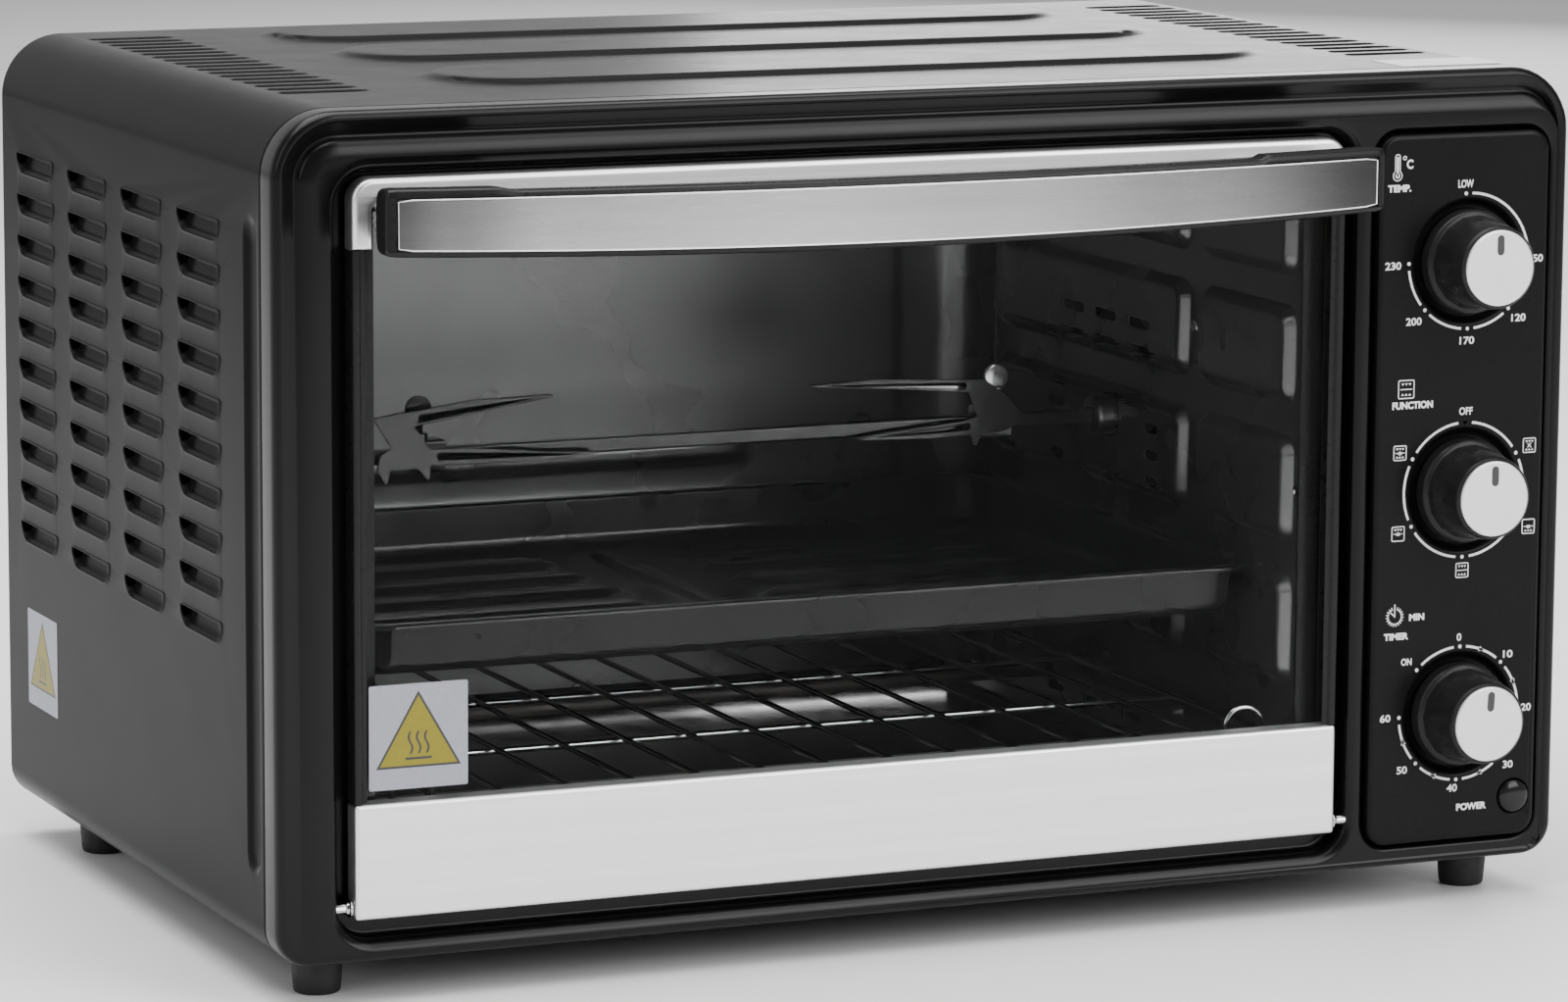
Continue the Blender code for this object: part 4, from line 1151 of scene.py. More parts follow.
def pane():
    """Glass with ground edges."""
    x0, x1, z0, z1 = DX0 + 2.0, DX1 - 2.0, DZ0 + 1.4, 303.3
    n = 5
    rings = [ring3(rr(x0, x1, z0, z1, (0.8, 6.0), n, o), d) for o, d in
             ((1.0, 2.5), (0.35, 2.75), (0.0, 3.3), (0.0, 5.7), (0.35, 6.25), (1.0, 6.5))]
    v, f = loft(rings, True, True, True)
    o = obj_from("door_glass_pane", v, f, GLASS, "door", smooth=40, merge=0.002, weighted=True, facing=None)
    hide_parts("door_glass")


pane()


def side_rail(side):
    """Black edge moulding: a channel that grips the glass, with a soft outer lip."""
    s = -1 if side == "left" else 1
    xe = DX0 if side == "left" else DX1
    prof = [(0.0, 8.8), (0.0, 1.6), (0.25, 0.9), (0.8, 0.6), (2.4, 0.62), (2.9, 0.9), (3.2, 1.5), (3.6, 1.9), (5.1, 2.0), (5.4, 2.25),
            (5.4, 2.45), (1.6, 2.48), (1.6, 6.75), (5.4, 6.78), (5.4, 7.3), (5.0, 7.7), (2.0, 7.9), (1.6, 8.8)]
    rings = []
    for z in (DZ0 + 44.1, 281.8):
        rings.append([(xe - s * a, d, z) for a, d in prof])
    v, f = loft(rings, True, True, True)
    o = obj_from(f"door_{side}_edge_rail", v, f, PLASTIC, "door", smooth=40, weighted=True)
    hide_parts(f"door_{side}_rail")


side_rail("left")
side_rail("right")

for side, sx in (("left", -1), ("right", 1)):
    drape(f"hinge_pin_{side}", CHROME)
    x0 = -240.0 if sx < 0 else 170.0
    # washer and riveted collar between the trim and the frame
    prof = [(2.05, 0.3), (3.3, 0.3), (3.5, 0.6), (3.5, 1.1), (3.2, 1.4), (2.7, 1.6), (2.5, 2.4), (2.3, 2.7), (2.05, 2.8)]
    v, f = revolve([(r, sx * t) for r, t in prof], (x0, 5.0, 36.5), "X", 28)
    obj_from(f"hinge_collar_{side}", v, f, CHROME, "door", smooth=40)

# ------------------------------------------------------------------ handle
HX0, HX1 = -239.2, 168.2
HM = (HX0 + HX1) / 2


def lift(x):
    """Pad on top of each end of the bar, over its foot."""
    return 1.2 * (1 - sstep((x - HX0 - 41.0) / 8.0) if x < HM else 1 - sstep((HX1 - x - 54.0) / 3.0))


def bow(x):
    t = (x - HM) / (HX1 - HM)
    return 1 - t * t


def bar_face(x):
    return -34.0 - 14.0 * bow(x)


def handle():
    """Bowed moulded bar: a rounded shell with a shallow pocket for the inlay, and a foot at each end."""
    N = 150
    rings = []

    def section(x, squeeze=0.0, inset=0.0):
        b = bow(x)
        yf, zc, h = bar_face(x), 295.0 - 2.0 * b, 11.7 + 1.3 * b
        h -= squeeze
        y0, y1 = yf + inset, yf + 12.0 - inset * 0.6
        ph = 9.5 + 1.4 * b            # pocket half height
        q = 2.2
        k = lift(x)
        pts = [(y0 + 0.9, zc - ph), (y0 + 0.75, zc + ph), (y0 + 0.05, zc + ph + 0.35), (y0, zc + h - q + k), (y0 + 0.35, zc + h - 0.9 + k),
               (y0 + 1.1, zc + h - 0.25 + k), (y0 + 2.4, zc + h + k), (y1 - 3.0, zc + h - 0.1 + k), (y1 - 1.2, zc + h - 0.8 + k), (y1 - 0.2, zc + h - 2.4 + k),
               (y1, zc + h - 5.0), (y1, zc - h + 5.0), (y1 - 0.2, zc - h + 2.4), (y1 - 1.2, zc - h + 0.8), (y1 - 3.0, zc - h + 0.1),
               (y0 + 2.4, zc - h), (y0 + 1.1, zc - h + 0.25), (y0 + 0.35, zc - h + 0.9), (y0, zc - h + q), (y0 + 0.05, zc - ph - 0.35)]
        return [(x, d, z) for d, z in pts]

    def plain(x, squeeze, inset):
        """End sections: as section, with no pocket."""
        b = bow(x)
        yf, zc, h = bar_face(x), 295.0 - 2.0 * b, 11.6 + 1.0 * b - squeeze
        y0, y1 = yf + inset, yf + 12.0 - inset * 0.6
        ph, q = 9.5 + 1.4 * b, 2.2
        k = lift(x)
        pts = [(y0, zc - ph + squeeze), (y0, zc + ph - squeeze), (y0, zc + ph + 0.35 - squeeze), (y0, zc + h - q + k), (y0 + 0.35, zc + h - 0.9 + k),
               (y0 + 1.1, zc + h - 0.25 + k), (y0 + 2.4, zc + h + k), (y1 - 3.0, zc + h - 0.1 + k), (y1 - 1.2, zc + h - 0.8 + k), (y1 - 0.2, zc + h - 2.4 + k),
               (y1, zc + h - 5.0), (y1, zc - h + 5.0), (y1 - 0.2, zc - h + 2.4), (y1 - 1.2, zc - h + 0.8), (y1 - 3.0, zc - h + 0.1),
               (y0 + 2.4, zc - h), (y0 + 1.1, zc - h + 0.25), (y0 + 0.35, zc - h + 0.9), (y0, zc - h + q), (y0, zc - ph - 0.35 + squeeze)]
        return [(x, d, z) for d, z in pts]

    for x, sq, ins in ((HX0, 2.0, 1.9), (HX0 + 0.25, 1.1, 1.0), (HX0 + 0.8, 0.45, 0.4), (HX0 + 1.7, 0.08, 0.08), (HX0 + 3.3, 0.0, 0.0)):
        rings.append(plain(x, sq, ins))
    a, b = HX0 + 3.45, HX1 - 3.45
    for k in range(N + 1):
        rings.append(section(a + (b - a) * k / N))
    for x, sq, ins in ((HX1 - 3.3, 0.0, 0.0), (HX1 - 1.7, 0.08, 0.08), (HX1 - 0.8, 0.45, 0.4), (HX1 - 0.25, 1.1, 1.0), (HX1, 2.0, 1.9)):
        rings.append(plain(x, sq, ins))
    parts = [loft(rings, True, True, True)]
    # feet: soft-edged blocks that fall away to the bar
    for s in (-1, 1):
        xe = (HX0 + 8.5) if s < 0 else (HX1 - 8.5)
        ring_list = []
        steps = [(0.0, 1.6, 0.0), (0.5, 0.5, 0.0), (1.4, 0.0, 0.0), (8.0, 0.0, 0.0), (18.0, 0.0, 0.05), (28.0, 0.0, 0.1), (36.0, 0.0, 0.3), (39.5, 0.0, 1.0),
                 (42.5, 0.0, 2.3), (45.5, 0.1, 4.0), (48.5, 0.4, 5.6), (50.3, 0.8, 6.7)]
        for t, sq, drop in steps:
            x = xe - s * t
            ztop, zbot = 302.6 - sq - drop, 284.6 + sq + drop * 0.5
            yb = bar_face(x) + 9.0
            pts = [(-0.35, zbot + 1.2), (-0.35, ztop - 1.2), (-0.9, ztop - 0.3), (-2.0, ztop), ((yb - 2) / 2, ztop - 0.3), (yb, ztop - 1.0),
                   (yb, zbot + 1.0), ((yb - 2) / 2, zbot + 0.3), (-2.0, zbot), (-0.9, zbot + 0.3)]
            ring_list.append([(x, d, z) for d, z in pts])
        parts.append(loft(ring_list, True, True, True))
    v, f = join_data(*parts)
    o = obj_from("handle_moulding", v, f, PLASTIC, "door", smooth=42, weighted=True)
    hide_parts("handle_bar")


handle()


def inlay():
    """Brushed plate in the handle's pocket, with a fine bright edge."""
    N = 90
    x0, x1 = HX0 + 3.9, HX1 - 3.7
    r = 1.3
    rings = []
    xs = [x0 + r * (1 - math.cos(math.pi / 2 * k / 4)) for k in range(5)]
    xs += [x0 + r + (x1 - x0 - 2 * r) * k / N for k in range(1, N)]
    xs += [x1 - r * (1 - math.cos(math.pi / 2 * (4 - k) / 4)) for k in range(5)]
    for x in xs:
        e = min(x - x0, x1 - x)
        cut = 0.0 if e >= r else r - math.sqrt(max(0.0, r * r - (r - e) ** 2))
        b = bow(x)
        zc, h = 295.0 - 2.0 * b, 9.25 + 1.35 * b - cut
        y = bar_face(x) + 0.1
        edge = 0.55 if e < 0.3 else 0.0
        pts = [(y + 0.7, -h), (y + 0.35 + edge * 0.5, -h), (y + 0.1 + edge, -h + 0.3), (y + edge, -h + 0.8), (y + edge, 0.0),
               (y + edge, h - 0.8), (y + 0.1 + edge, h - 0.3), (y + 0.35 + edge * 0.5, h), (y + 0.7, h)]
        rings.append([(x, d, zc + z) for d, z in pts])
    v, f = loft(rings, True, True, True)
    o = obj_from("handle_inlay_plate", v, f, INLAY, "door", smooth=48, weighted=True, facing=None)
    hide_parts("handle_inlay")
    # polished chamfer round the plate
    pts = []
    top, bot = [], []
    for k in range(81):
        x = x0 + 0.5 + (x1 - x0 - 1.0) * k / 80
        b = bow(x)
        e = min(x - x0, x1 - x) 
        cut = 0.0 if e >= 2.0 else 2.0 - math.sqrt(max(0.0, 4.0 - (2.0 - e) ** 2))
        zc, h = 295.0 - 2.0 * b, 9.05 + 1.35 * b - cut
        y = bar_face(x) - 0.02
        top.append((x, y, zc + h))
        bot.append((x, y, zc - h))
    pts = top + bot[::-1]
    v, f = tube(pts, 0.30, 8, False, True)
    obj_from("handle_inlay_edge", v, f, SILVER, "door", smooth=60)


inlay()

# ------------------------------------------------------------------ plain stickers


def sticker(name, place, body, w, h):
    """White film with an empty yellow triangle. place(u, v, lift) -> point in mm."""
    def plate(loop, lift0, lift1):
        n = len(loop)
        v = [place(u, t, lift0) for u, t in loop] + [place(u, t, lift1) for u, t in loop]
        f = [tuple(range(n)), tuple(range(n, 2 * n))[::-1]] + [(i, n + i, n + (i + 1) % n, (i + 1) % n) for i in range(n)]
        return v, f

    def soft(loop, r=0.6):
        return loop
    v, f = plate(rr(0, w, 0, h, 0.8, 4), 0.0, 0.14)
    obj_from(f"{name}_film", v, f, LABEL_WHITE, body, smooth=None, weighted=False)
    cx, base, top, half = w / 2, h * 0.20, h * 0.93, w * 0.43
    tri = lambda k: [(cx - half + 1.73 * k, base + k), (cx + half - 1.73 * k, base + k), (cx, top - 2.0 * k)]
    v, f = plate(tri(0.0), 0.14, 0.17)
    obj_from(f"{name}_border", v, f, BLACK_INK, body, smooth=None)
    v, f = plate(tri(0.85), 0.17, 0.19)
    obj_from(f"{name}_triangle", v, f, LABEL_YELLOW, body, smooth=None)
    # a plain bar and three upright waves, as on any hot-surface mark
    parts = [plate([(cx - 5.2, base + 3.0), (cx + 5.2, base + 3.0), (cx + 5.2, base + 3.9), (cx - 5.2, base + 3.9)], 0.19, 0.205)]
    for k in (-1, 0, 1):
        pts = []
        for i in range(9):
            t = i / 8
            pts.append((cx + k * 3.2 + 0.75 * math.sin(t * 2 * math.pi), base + 5.2 + 8.4 * t))
        left = [(u - 0.42, t) for u, t in pts]
        right = [(u + 0.42, t) for u, t in pts]
        for i in range(8):
            parts.append(plate([left[i], right[i], right[i + 1], left[i + 1]], 0.19, 0.205))
    v, f = join_data(*parts)
    obj_from(f"{name}_mark", v, f, BLACK_INK, body, smooth=None)


# on the glass, lower left
sticker("door_sticker", lambda u, t, k: (-233.8 + u, 2.5 - k, 80.5 + t), "door", 39.0, 39.5)
# on the left side of the casing, lower rear
sticker("side_sticker", lambda u, t, k: (-270.0 - k, 313.0 - u, 60.5 + t), "oven", 40.0, 39.5)


def top_label():
    v, f = slab(205.0, 250.0, 20.0, 46.0, 333.0, 333.12)
    obj_from("top_label", v, f, LABEL_GREY, "oven", smooth=None)


top_label()

# ------------------------------------------------------------------ cavity
CX0, CX1, CD0, CD1, CZ0, CZ1 = -229.5, 159.5, 13.8, 314.0, 36.0, 306.0


def side_wall(side):
    """Pressed side sheet: flat panel, three tray rails, upright beads, and on the right the socket hole and vents.
    Works in (D, Z) with height into the cavity."""
    s = -1 if side == "left" else 1
    x_in = CX0 if side == "left" else CX1
    outline = [(CD0, CZ0), (CD1, CZ0), (CD1, CZ1), (CD0, CZ1)]
    holes, loops, special = [], [], []

    def put(loop, h):
        loops.append(loop)
        special.append((np.array(loop), h))

    top_h = 4.7
    for d0, d1 in ((19.5, 99.0), (110.0, 290.0)):
        for z0, z1 in ((40.5, 66.6), (89.0, 133.6), (146.0, 188.6), (200.5, 240.0), (252.0, 292.0)):
            r = 7.0 if z1 - z0 > 30 else 5.5
            for off, hh in ((-0.7, 0.0), (0.1, 0.35), (1.0, 1.2), (2.3, 2.9), (3.6, 4.1), (4.8, 4.6), (5.8, top_h)):
                put(rr(d0, d1, z0, z1, r + 1.0, 6, off), hh)
    vents = []
    if side == "right":
        ring = [(172.0 + 9.6 * math.cos(2 * math.pi * k / 32), 177.0 + 9.6 * math.sin(2 * math.pi * k / 32)) for k in range(32)]
        holes.append(ring)
        special.append((np.array(ring), 5.6))
        for q, hh in ((9.9, 6.0), (10.4, 6.0)):
            put([(172.0 + q * math.cos(2 * math.pi * k / 32), 177.0 + q * math.sin(2 * math.pi * k / 32)) for k in range(32)], hh)
        vents = [(d, z, 10.0) for z in (206.4, 217.6) for d in (149.0, 180.0, 210.0)]
        vents += [(136.5, z, 6.0) for z in (175.5, 164.5, 153.5)] + [(224.0, z, 6.0) for z in (175.5, 153.5)]
        for d, z, half in vents:
            sl = stadium(d, z, half, 2.0, 0, 5)
            holes.append(sl)
            special.append((np.array(sl), top_h - 0.6))
            put(stadium(d, z, half + 0.7, 2.0, 0, 5, -0.7), top_h)
    holes_lower = []
    for d in (60, 96, 150, 186, 222):
        if abs(d - 96) < 1:
            continue
        sl = stadium(d, 53.0, 8.0, 1.6, 0, 5)
        holes.append(sl)
        special.append((np.array(sl), top_h - 0.6))
        put(stadium(d, 53.0, 8.6, 1.6, 0, 5, -0.6), top_h)
    co, tri, _ = flat_mesh(outline, holes, loops)
    key = {}
    for arr, hh in special:
        for p in arr:
            key[(round(p[0], 3), round(p[1], 3))] = hh
    v = [(x_in - s * key.get((round(d, 3), round(z, 3)), 0.0), d, z) for d, z in co]
    # the right wall takes the darker copy of the coating: painted shade
    o = obj_from(f"cavity_{side}_sheet", v, [tuple(t) for t in tri], SHADED_WALLCOAT if side == "right" else CAVITY, "oven", smooth=50,
                 weighted=True, solid=0.8, facing=(-s, 0, 0))
    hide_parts(f"cavity_{side}_wall")


side_wall("left")
side_wall("right")


def screw_head(name, at, axis, r, mat, body, lift=1.0):
    """Pan head with a cross slot pressed in."""
    n = 32
    ax = Vector(axis).normalized()
    ref = Vector((0, 0, 1)) if abs(ax.z) < 0.9 else Vector((1, 0, 0))
    u = ax.cross(ref).normalized()
    w = ax.cross(u)
    rings = []
    for q, t in ((r, 0.0), (r, 0.25), (r * 0.97, 0.5 * lift), (r * 0.86, 0.8 * lift), (r * 0.68, 0.97 * lift), (r * 0.5, lift)):
        rings.append([tuple(Vector(at) + ax * t + u * q * math.cos(2 * math.pi * k / n) + w * q * math.sin(2 * math.pi * k / n)) for k in range(n)])
    # cross recess: inner rings dip where the angle is near an arm
    for q, dip in ((r * 0.46, 0.0), (r * 0.40, 0.5), (r * 0.2, 0.6), (r * 0.04, 0.62)):
        ring = []
        for k in range(n):
            a = 2 * math.pi * k / n
            arm = max(0.0, math.cos(2 * a) ** 2 * 2 - 1) if q > r * 0.25 else 1.0
            ring.append(tuple(Vector(at) + ax * (lift - dip * arm * lift) + u * q * math.cos(a) + w * q * math.sin(a)))
        rings.append(ring)
    v, f = loft(rings, True, True, True)
    return obj_from(name, v, f, mat, body, smooth=40)


def back_wall():
    """Rear sheet with rounded upright corners and a shallow pressed field."""
    r = 20.0
    xl, xr, yb = CX0 + 0.3, CX1 - 0.3, 314.3
    path, nrm = [], []
    def add(x, d, nx, nd):
        path.append((x, d))
        nrm.append((nx, nd))
    add(xr, yb - r - 1.0, -1, 0)
    for k in range(9):
        a = math.radians(90 * k / 8)
        add(xr - r + r * math.cos(a), yb - r + r * math.sin(a), -math.cos(a), -math.sin(a))
    flat = [xr - r - 14, xr - r - 16.5, xr - r - 19, xr - r - 21.5]
    mids = [110.0, 52.0, 48.0, 44.5, 42.0, 20.0, -30.0, -80.0, -130.0]
    flat2 = [xl + r + 21.5, xl + r + 19, xl + r + 16.5, xl + r + 14]
    for x in flat + mids + flat2:
        add(x, yb, 0, -1)
    for k in range(9):
        a = math.radians(90 + 90 * k / 8)
        add(xl + r + r * math.cos(a), yb - r + r * math.sin(a), -math.cos(a), -math.sin(a))
    add(xl, yb - r - 1.0, 1, 0)
    zs = [49.0, 60.0, 64.0, 66.5, 69.0, 71.5, 100.0, 115.5, 117.0, 119.0, 121.0, 124.0, 127.0, 129.0, 131.0, 132.5, 137.0, 141.0, 142.5, 144.5, 147.0, 149.0, 151.0, 153.5, 155.5, 157.0, 170.0, 220.0, 270.0, 280.0, 282.5, 285.0, 287.5, 295.0, 305.7]
    verts = []
    for z in zs:
        for (x, d), (nx, nd) in zip(path, nrm):
            e = min(x - (xl + r + 14), (xr - r - 14) - x, z - 64.0, 287.5 - z)
            h = 2.2 * sstep(e / 7.0)
            for zb, half in ((149.0, 8.0), (124.0, 8.5)):
                if abs(z - zb) < half and x < 55.0:
                    h += 4.2 * sstep((half - abs(z - zb)) / 5.5) * sstep((52.0 - x) / 10.0) * sstep((x - xl - r) / 10.0)
            verts.append((x + nx * h, d + nd * h, z))
    n = len(path)
    faces = [(i * n + j, i * n + j + 1, (i + 1) * n + j + 1, (i + 1) * n + j) for i in range(len(zs) - 1) for j in range(n - 1)]
    o = obj_from("cavity_back_sheet", verts, faces, CAVITY, "oven", smooth=50, weighted=True, solid=0.8, facing=(0, -1, 0))
    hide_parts("cavity_rear_wall")


back_wall()


def flat_sheet(name, node, z, up, beads, mat):
    """Roof or floor with long pressed beads across."""
    outline = [(CX0 + 0.4, CD0), (CX1 - 0.4, CD0), (CX1 - 0.4, CD1 - 0.2), (CX0 + 0.4, CD1 - 0.2)]
    loops, special = [], []
    for c in beads:
        for off, hh in ((-1.2, 0.0), (0.0, 0.15), (1.5, 0.7), (3.0, 1.0)):
            lp = stadium(-35.0, c, 165.0 - off, 9.0, 0, 8, off)
            loops.append(lp)
            special.append((np.array(lp), 1.6 * hh))
    co, tri, _ = flat_mesh(outline, [], loops)
    key = {}
    for arr, hh in special:
        for p in arr:
            key[(round(p[0], 3), round(p[1], 3))] = hh
    v = [(x, d, z + (1 if up else -1) * key.get((round(x, 3), round(d, 3)), 0.0)) for x, d in co]
    o = obj_from(name, v, [tuple(t) for t in tri], mat, "oven", smooth=50, weighted=True, solid=0.8,
                 facing=(0, 0, 1 if up else -1))
    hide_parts(node)


flat_sheet("cavity_roof_sheet", "cavity_roof", 306.3, False, (50, 130, 205, 275), CAVITY)
flat_sheet("cavity_floor_sheet", "cavity_floor", 36.0, False, (60, 140, 215, 280), CAVITY)

# ------------------------------------------------------------------ heating elements
for key, (d, z) in {"upper_element_front": (85.0, 289.0), "upper_element_rear": (245.0, 289.0),
                    "lower_element_front": (85.0, 56.0), "lower_element_rear": (245.0, 56.0)}.items():
    pts, rad = [], []
    for k in range(37):
        x = -241.0 + 412.0 * k / 36
        pts.append((x, d, z))
        rad.append(3.35 + 0.05 * math.sin(k * 1.3))
    v, f = tube(pts, rad, 20)
    parts = [(v, f)]
    for s, xe in ((1, -229.2), (-1, 159.2)):
        prof = [(3.45, 0.0), (6.6, 0.0), (6.8, 0.5), (6.4, 1.1), (4.6, 1.6), (4.3, 3.4), (3.9, 3.9), (3.45, 4.0)]
        parts.append(revolve([(r, s * t) for r, t in prof], (xe, d, z), "X", 24))
    v, f = join_data(*parts)
    o = obj_from(f"{key}_rod", v, f, ELEMENT, "oven", smooth=45)
    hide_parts(key)

# ------------------------------------------------------------------ spit drive
SD, SZ = 172.0, 177.0


def rounded_bar(x0, x1, d0, d1, z0, z1, r, mat, name, body, slot, node=None, n=3):
    rings = [[(x, a, b) for a, b in rr(d0, d1, z0, z1, r, n, off)] for x, off in
             ((x0, r * 0.6), (x0 + r * 0.3, r * 0.2), (x0 + r, 0.0), (x1 - r, 0.0), (x1 - r * 0.3, r * 0.2), (x1, r * 0.6))]
    v, f = loft(rings, True, True, True)
    o = obj_from(name, v, f, mat, body, smooth=35, weighted=True)
    if node:
        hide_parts(node)
    return o


def spit():
    parts = []
    rings = [[(x, a, b) for a, b in rr(SD - q, SD + q, SZ - q, SZ + q, 0.95, 4)] for x, q in
             ((-219.5, 2.2), (-218.6, 2.95), (-150.0, 3.0), (-40.0, 3.0), (60.0, 3.0), (150.0, 3.0), (155.6, 2.9), (156.4, 2.3))]
    parts.append(loft(rings, True, True, True))
    parts.append(revolve([(1.4, -226.0), (2.2, -225.4), (2.5, -224.4), (2.5, -218.9)], (0, SD, SZ), "X", 20))
    v, f = join_data(*parts)
    # spit bar in the darkened chrome: painted shade
    o = obj_from("spit_bar", v, f, SHADED_CHROME, "spit", smooth=35, weighted=True)
    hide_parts("spit_rod")


spit()


def socket():
    n = 40
    def ring(r, t):
        return [(t, SD + r * math.cos(2 * math.pi * k / n), SZ + r * math.sin(2 * math.pi * k / n)) for k in range(n)]
    outer = [ring(8.1, 171.8), ring(8.1, 147.4), ring(7.9, 146.2), ring(7.4, 145.4), ring(6.6, 145.1)]
    sq = 3.5
    def square(t, q):
        pts = []
        for k in range(n):
            a = 2 * math.pi * k / n
            c, s = math.cos(a), math.sin(a)
            m = q / max(abs(c), abs(s))
            pts.append((t, SD + c * m, SZ + s * m))
        return pts
    rings = outer + [square(145.1, 4.0), square(145.8, sq), square(157.5, sq), square(157.5, 0.3)]
    v, f = loft(rings, True, True, True)
    o = obj_from("drive_socket_turned", v, f, STEEL, "spit", smooth=38)
    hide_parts("drive_socket")


socket()


FORK_BLADE = {
    "left": [(-173.3, 193.8), (-162.0, 195.5), (-156.0, 195.9), (-131.8, 199.1), (-98.4, 199.6), (-97.0, 199.0), (-97.6, 198.2), (-116.1, 195.7),
             (-156.0, 189.6), (-152.8, 185.9), (-148.9, 180.3), (-127.5, 179.8), (-101.7, 177.0), (-78.2, 175.6), (-77.6, 174.7), (-110.3, 173.0),
             (-148.9, 173.7), (-149.4, 168.2), (-150.5, 167.6), (-154.6, 172.7), (-165.8, 172.6), (-167.2, 167.4), (-168.4, 167.4), (-171.6, 172.6),
             (-170.2, 179.2), (-165.6, 181.6)][::-1],
    "right": [(14.3, 196.4), (14.9, 197.2), (44.3, 198.2), (92.9, 195.6), (103.2, 188.1), (112.0, 178.2), (102.3, 173.6), (91.6, 172.8), (89.6, 168.4),
              (88.2, 168.6), (87.0, 172.9), (70.8, 172.4), (35.6, 173.4), (35.2, 174.2), (54.5, 176.4), (82.9, 178.9), (89.8, 180.6), (85.3, 190.7),
              (48.3, 193.8)],
}
FORK_RIDGE = {"left": [((-154.0, 192.6), (-104.0, 198.6)), ((-146.0, 177.2), (-86.0, 174.9))],
              "right": [((84.0, 193.2), (22.0, 196.4)), ((86.0, 176.2), (44.0, 174.3))]}


def meat_fork(side, hub, sign):
    """Hub block with a pressed cross plate, two long flat-ground prongs and two short spurs."""
    tilt = math.radians(20)
    def turn(x, d, z):
        dd, zz = d - SD, z - SZ
        return (x, SD + dd * math.cos(tilt) - zz * math.sin(tilt), SZ + dd * math.sin(tilt) + zz * math.cos(tilt))
    parts = []
    # hub, square outside, square bore
    q, b = 6.4, 3.45
    rings = [[(x, a, c) for a, c in rr(SD - o, SD + o, SZ - o, SZ + o, 1.1, 4)] for x, o in
             ((hub - 7.0, q - 0.5), (hub - 6.5, q), (hub + 6.5, q), (hub + 7.0, q - 0.5))]
    rings += [[(x, a, c) for a, c in rr(SD - o, SD + o, SZ - o, SZ + o, 0.5, 4)] for x, o in ((hub + 7.0, b + 0.3), (hub + 6.7, b), (hub - 6.7, b), (hub - 7.0, b + 0.3))]
    rings.append(rings[0])
    parts.append(loft(rings))
    # pressed blade: web, two long prongs and two short spurs
    blade = FORK_BLADE[side]
    co, tri, _ = flat_mesh(blade)
    n, m = len(blade), len(co)
    ridge = lambda x, z: 0.0
    v = [(x, SD - 7.9, z) for x, z in co] + [(x, SD - 6.5, z) for x, z in co] + [(x, SD - 7.9, z) for x, z in blade] + [(x, SD - 6.5, z) for x, z in blade]
    f = [tuple(t) for t in tri] + [tuple(m + i for i in t[::-1]) for t in tri]
    f += [(2 * m + i, 2 * m + (i + 1) % n, 2 * m + n + (i + 1) % n, 2 * m + n + i) for i in range(n)]
    # both blades in the darkened chrome: painted shade
    blade_obj = obj_from(f"fork_{side}_blade", v, f, SHADED_CHROME, f"{side}_fork", smooth=35, merge=0.003, bevel=(0.35, 2, 30))
    # stiffening fold along each prong
    for (xa, za), (xb_, zb_) in FORK_RIDGE[side]:
        rings = []
        for k in range(9):
            t = k / 8
            x, z = xa + (xb_ - xa) * t, za + (zb_ - za) * t
            w = 1.5 * (1 - t) ** 0.7 + 0.15
            rings.append([(x, SD - 7.85, z - w), (x, SD - 7.85 - 1.1 * w, z + w * 0.15), (x, SD - 7.85, z + w)])
        v, f = loft(rings, True, True, True)
        parts.append((v, f))
    # screw boss
    xb = hub - sign * 2.5
    parts.append(revolve([(2.45, 6.3), (3.9, 6.3), (3.9, 8.6), (3.5, 9.0), (2.45, 9.0)], (xb, SD, SZ), "Z", 24))
    v, f = join_data(*parts)
    # left fork in darkened chrome, right fork in plain chrome: painted shade on the left copy
    o = obj_from(f"fork_{side}_pressed", v, f, SHADED_CHROME if side == "left" else CHROME, f"{side}_fork", smooth=35)
    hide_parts(f"fork_{side}")
    # thumb screw: stem with thread rings and a flattened grip
    parts = []
    prof = [(0.6, 3.7)]
    z = 4.0
    while z < 12.4:
        prof += [(1.75, z), (2.05, z + 0.25), (1.75, z + 0.5)]
        z += 0.5
    prof += [(2.3, 12.6), (3.0, 13.0), (3.0, 13.8), (1.8, 14.4), (0.5, 14.5)]
    parts.append(revolve(prof, (xb, SD, SZ), "Z", 20))
    n = 40
    rings = []
    for dy, q in ((-0.95, 4.6), (-0.85, 5.1), (-0.5, 5.5), (0.5, 5.5), (0.85, 5.1), (0.95, 4.6)):
        rings.append([(xb + q * math.cos(2 * math.pi * k / n), SD + dy, SZ + 18.3 + q * math.sin(2 * math.pi * k / n) * 1.0) for k in range(n)])
    parts.append(loft(rings, True, True, True))
    v, f = join_data(*parts)
    # left screw in darkened chrome, right screw in plain chrome: painted shade on the left copy
    o = obj_from(f"thumb_screw_{side}_turned", v, f, SHADED_CHROME if side == "left" else CHROME, f"{side}_screw", smooth=38)
    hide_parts(f"thumb_screw_{side}")


meat_fork("left", -149.0, 1)
meat_fork("right", 99.0, -1)


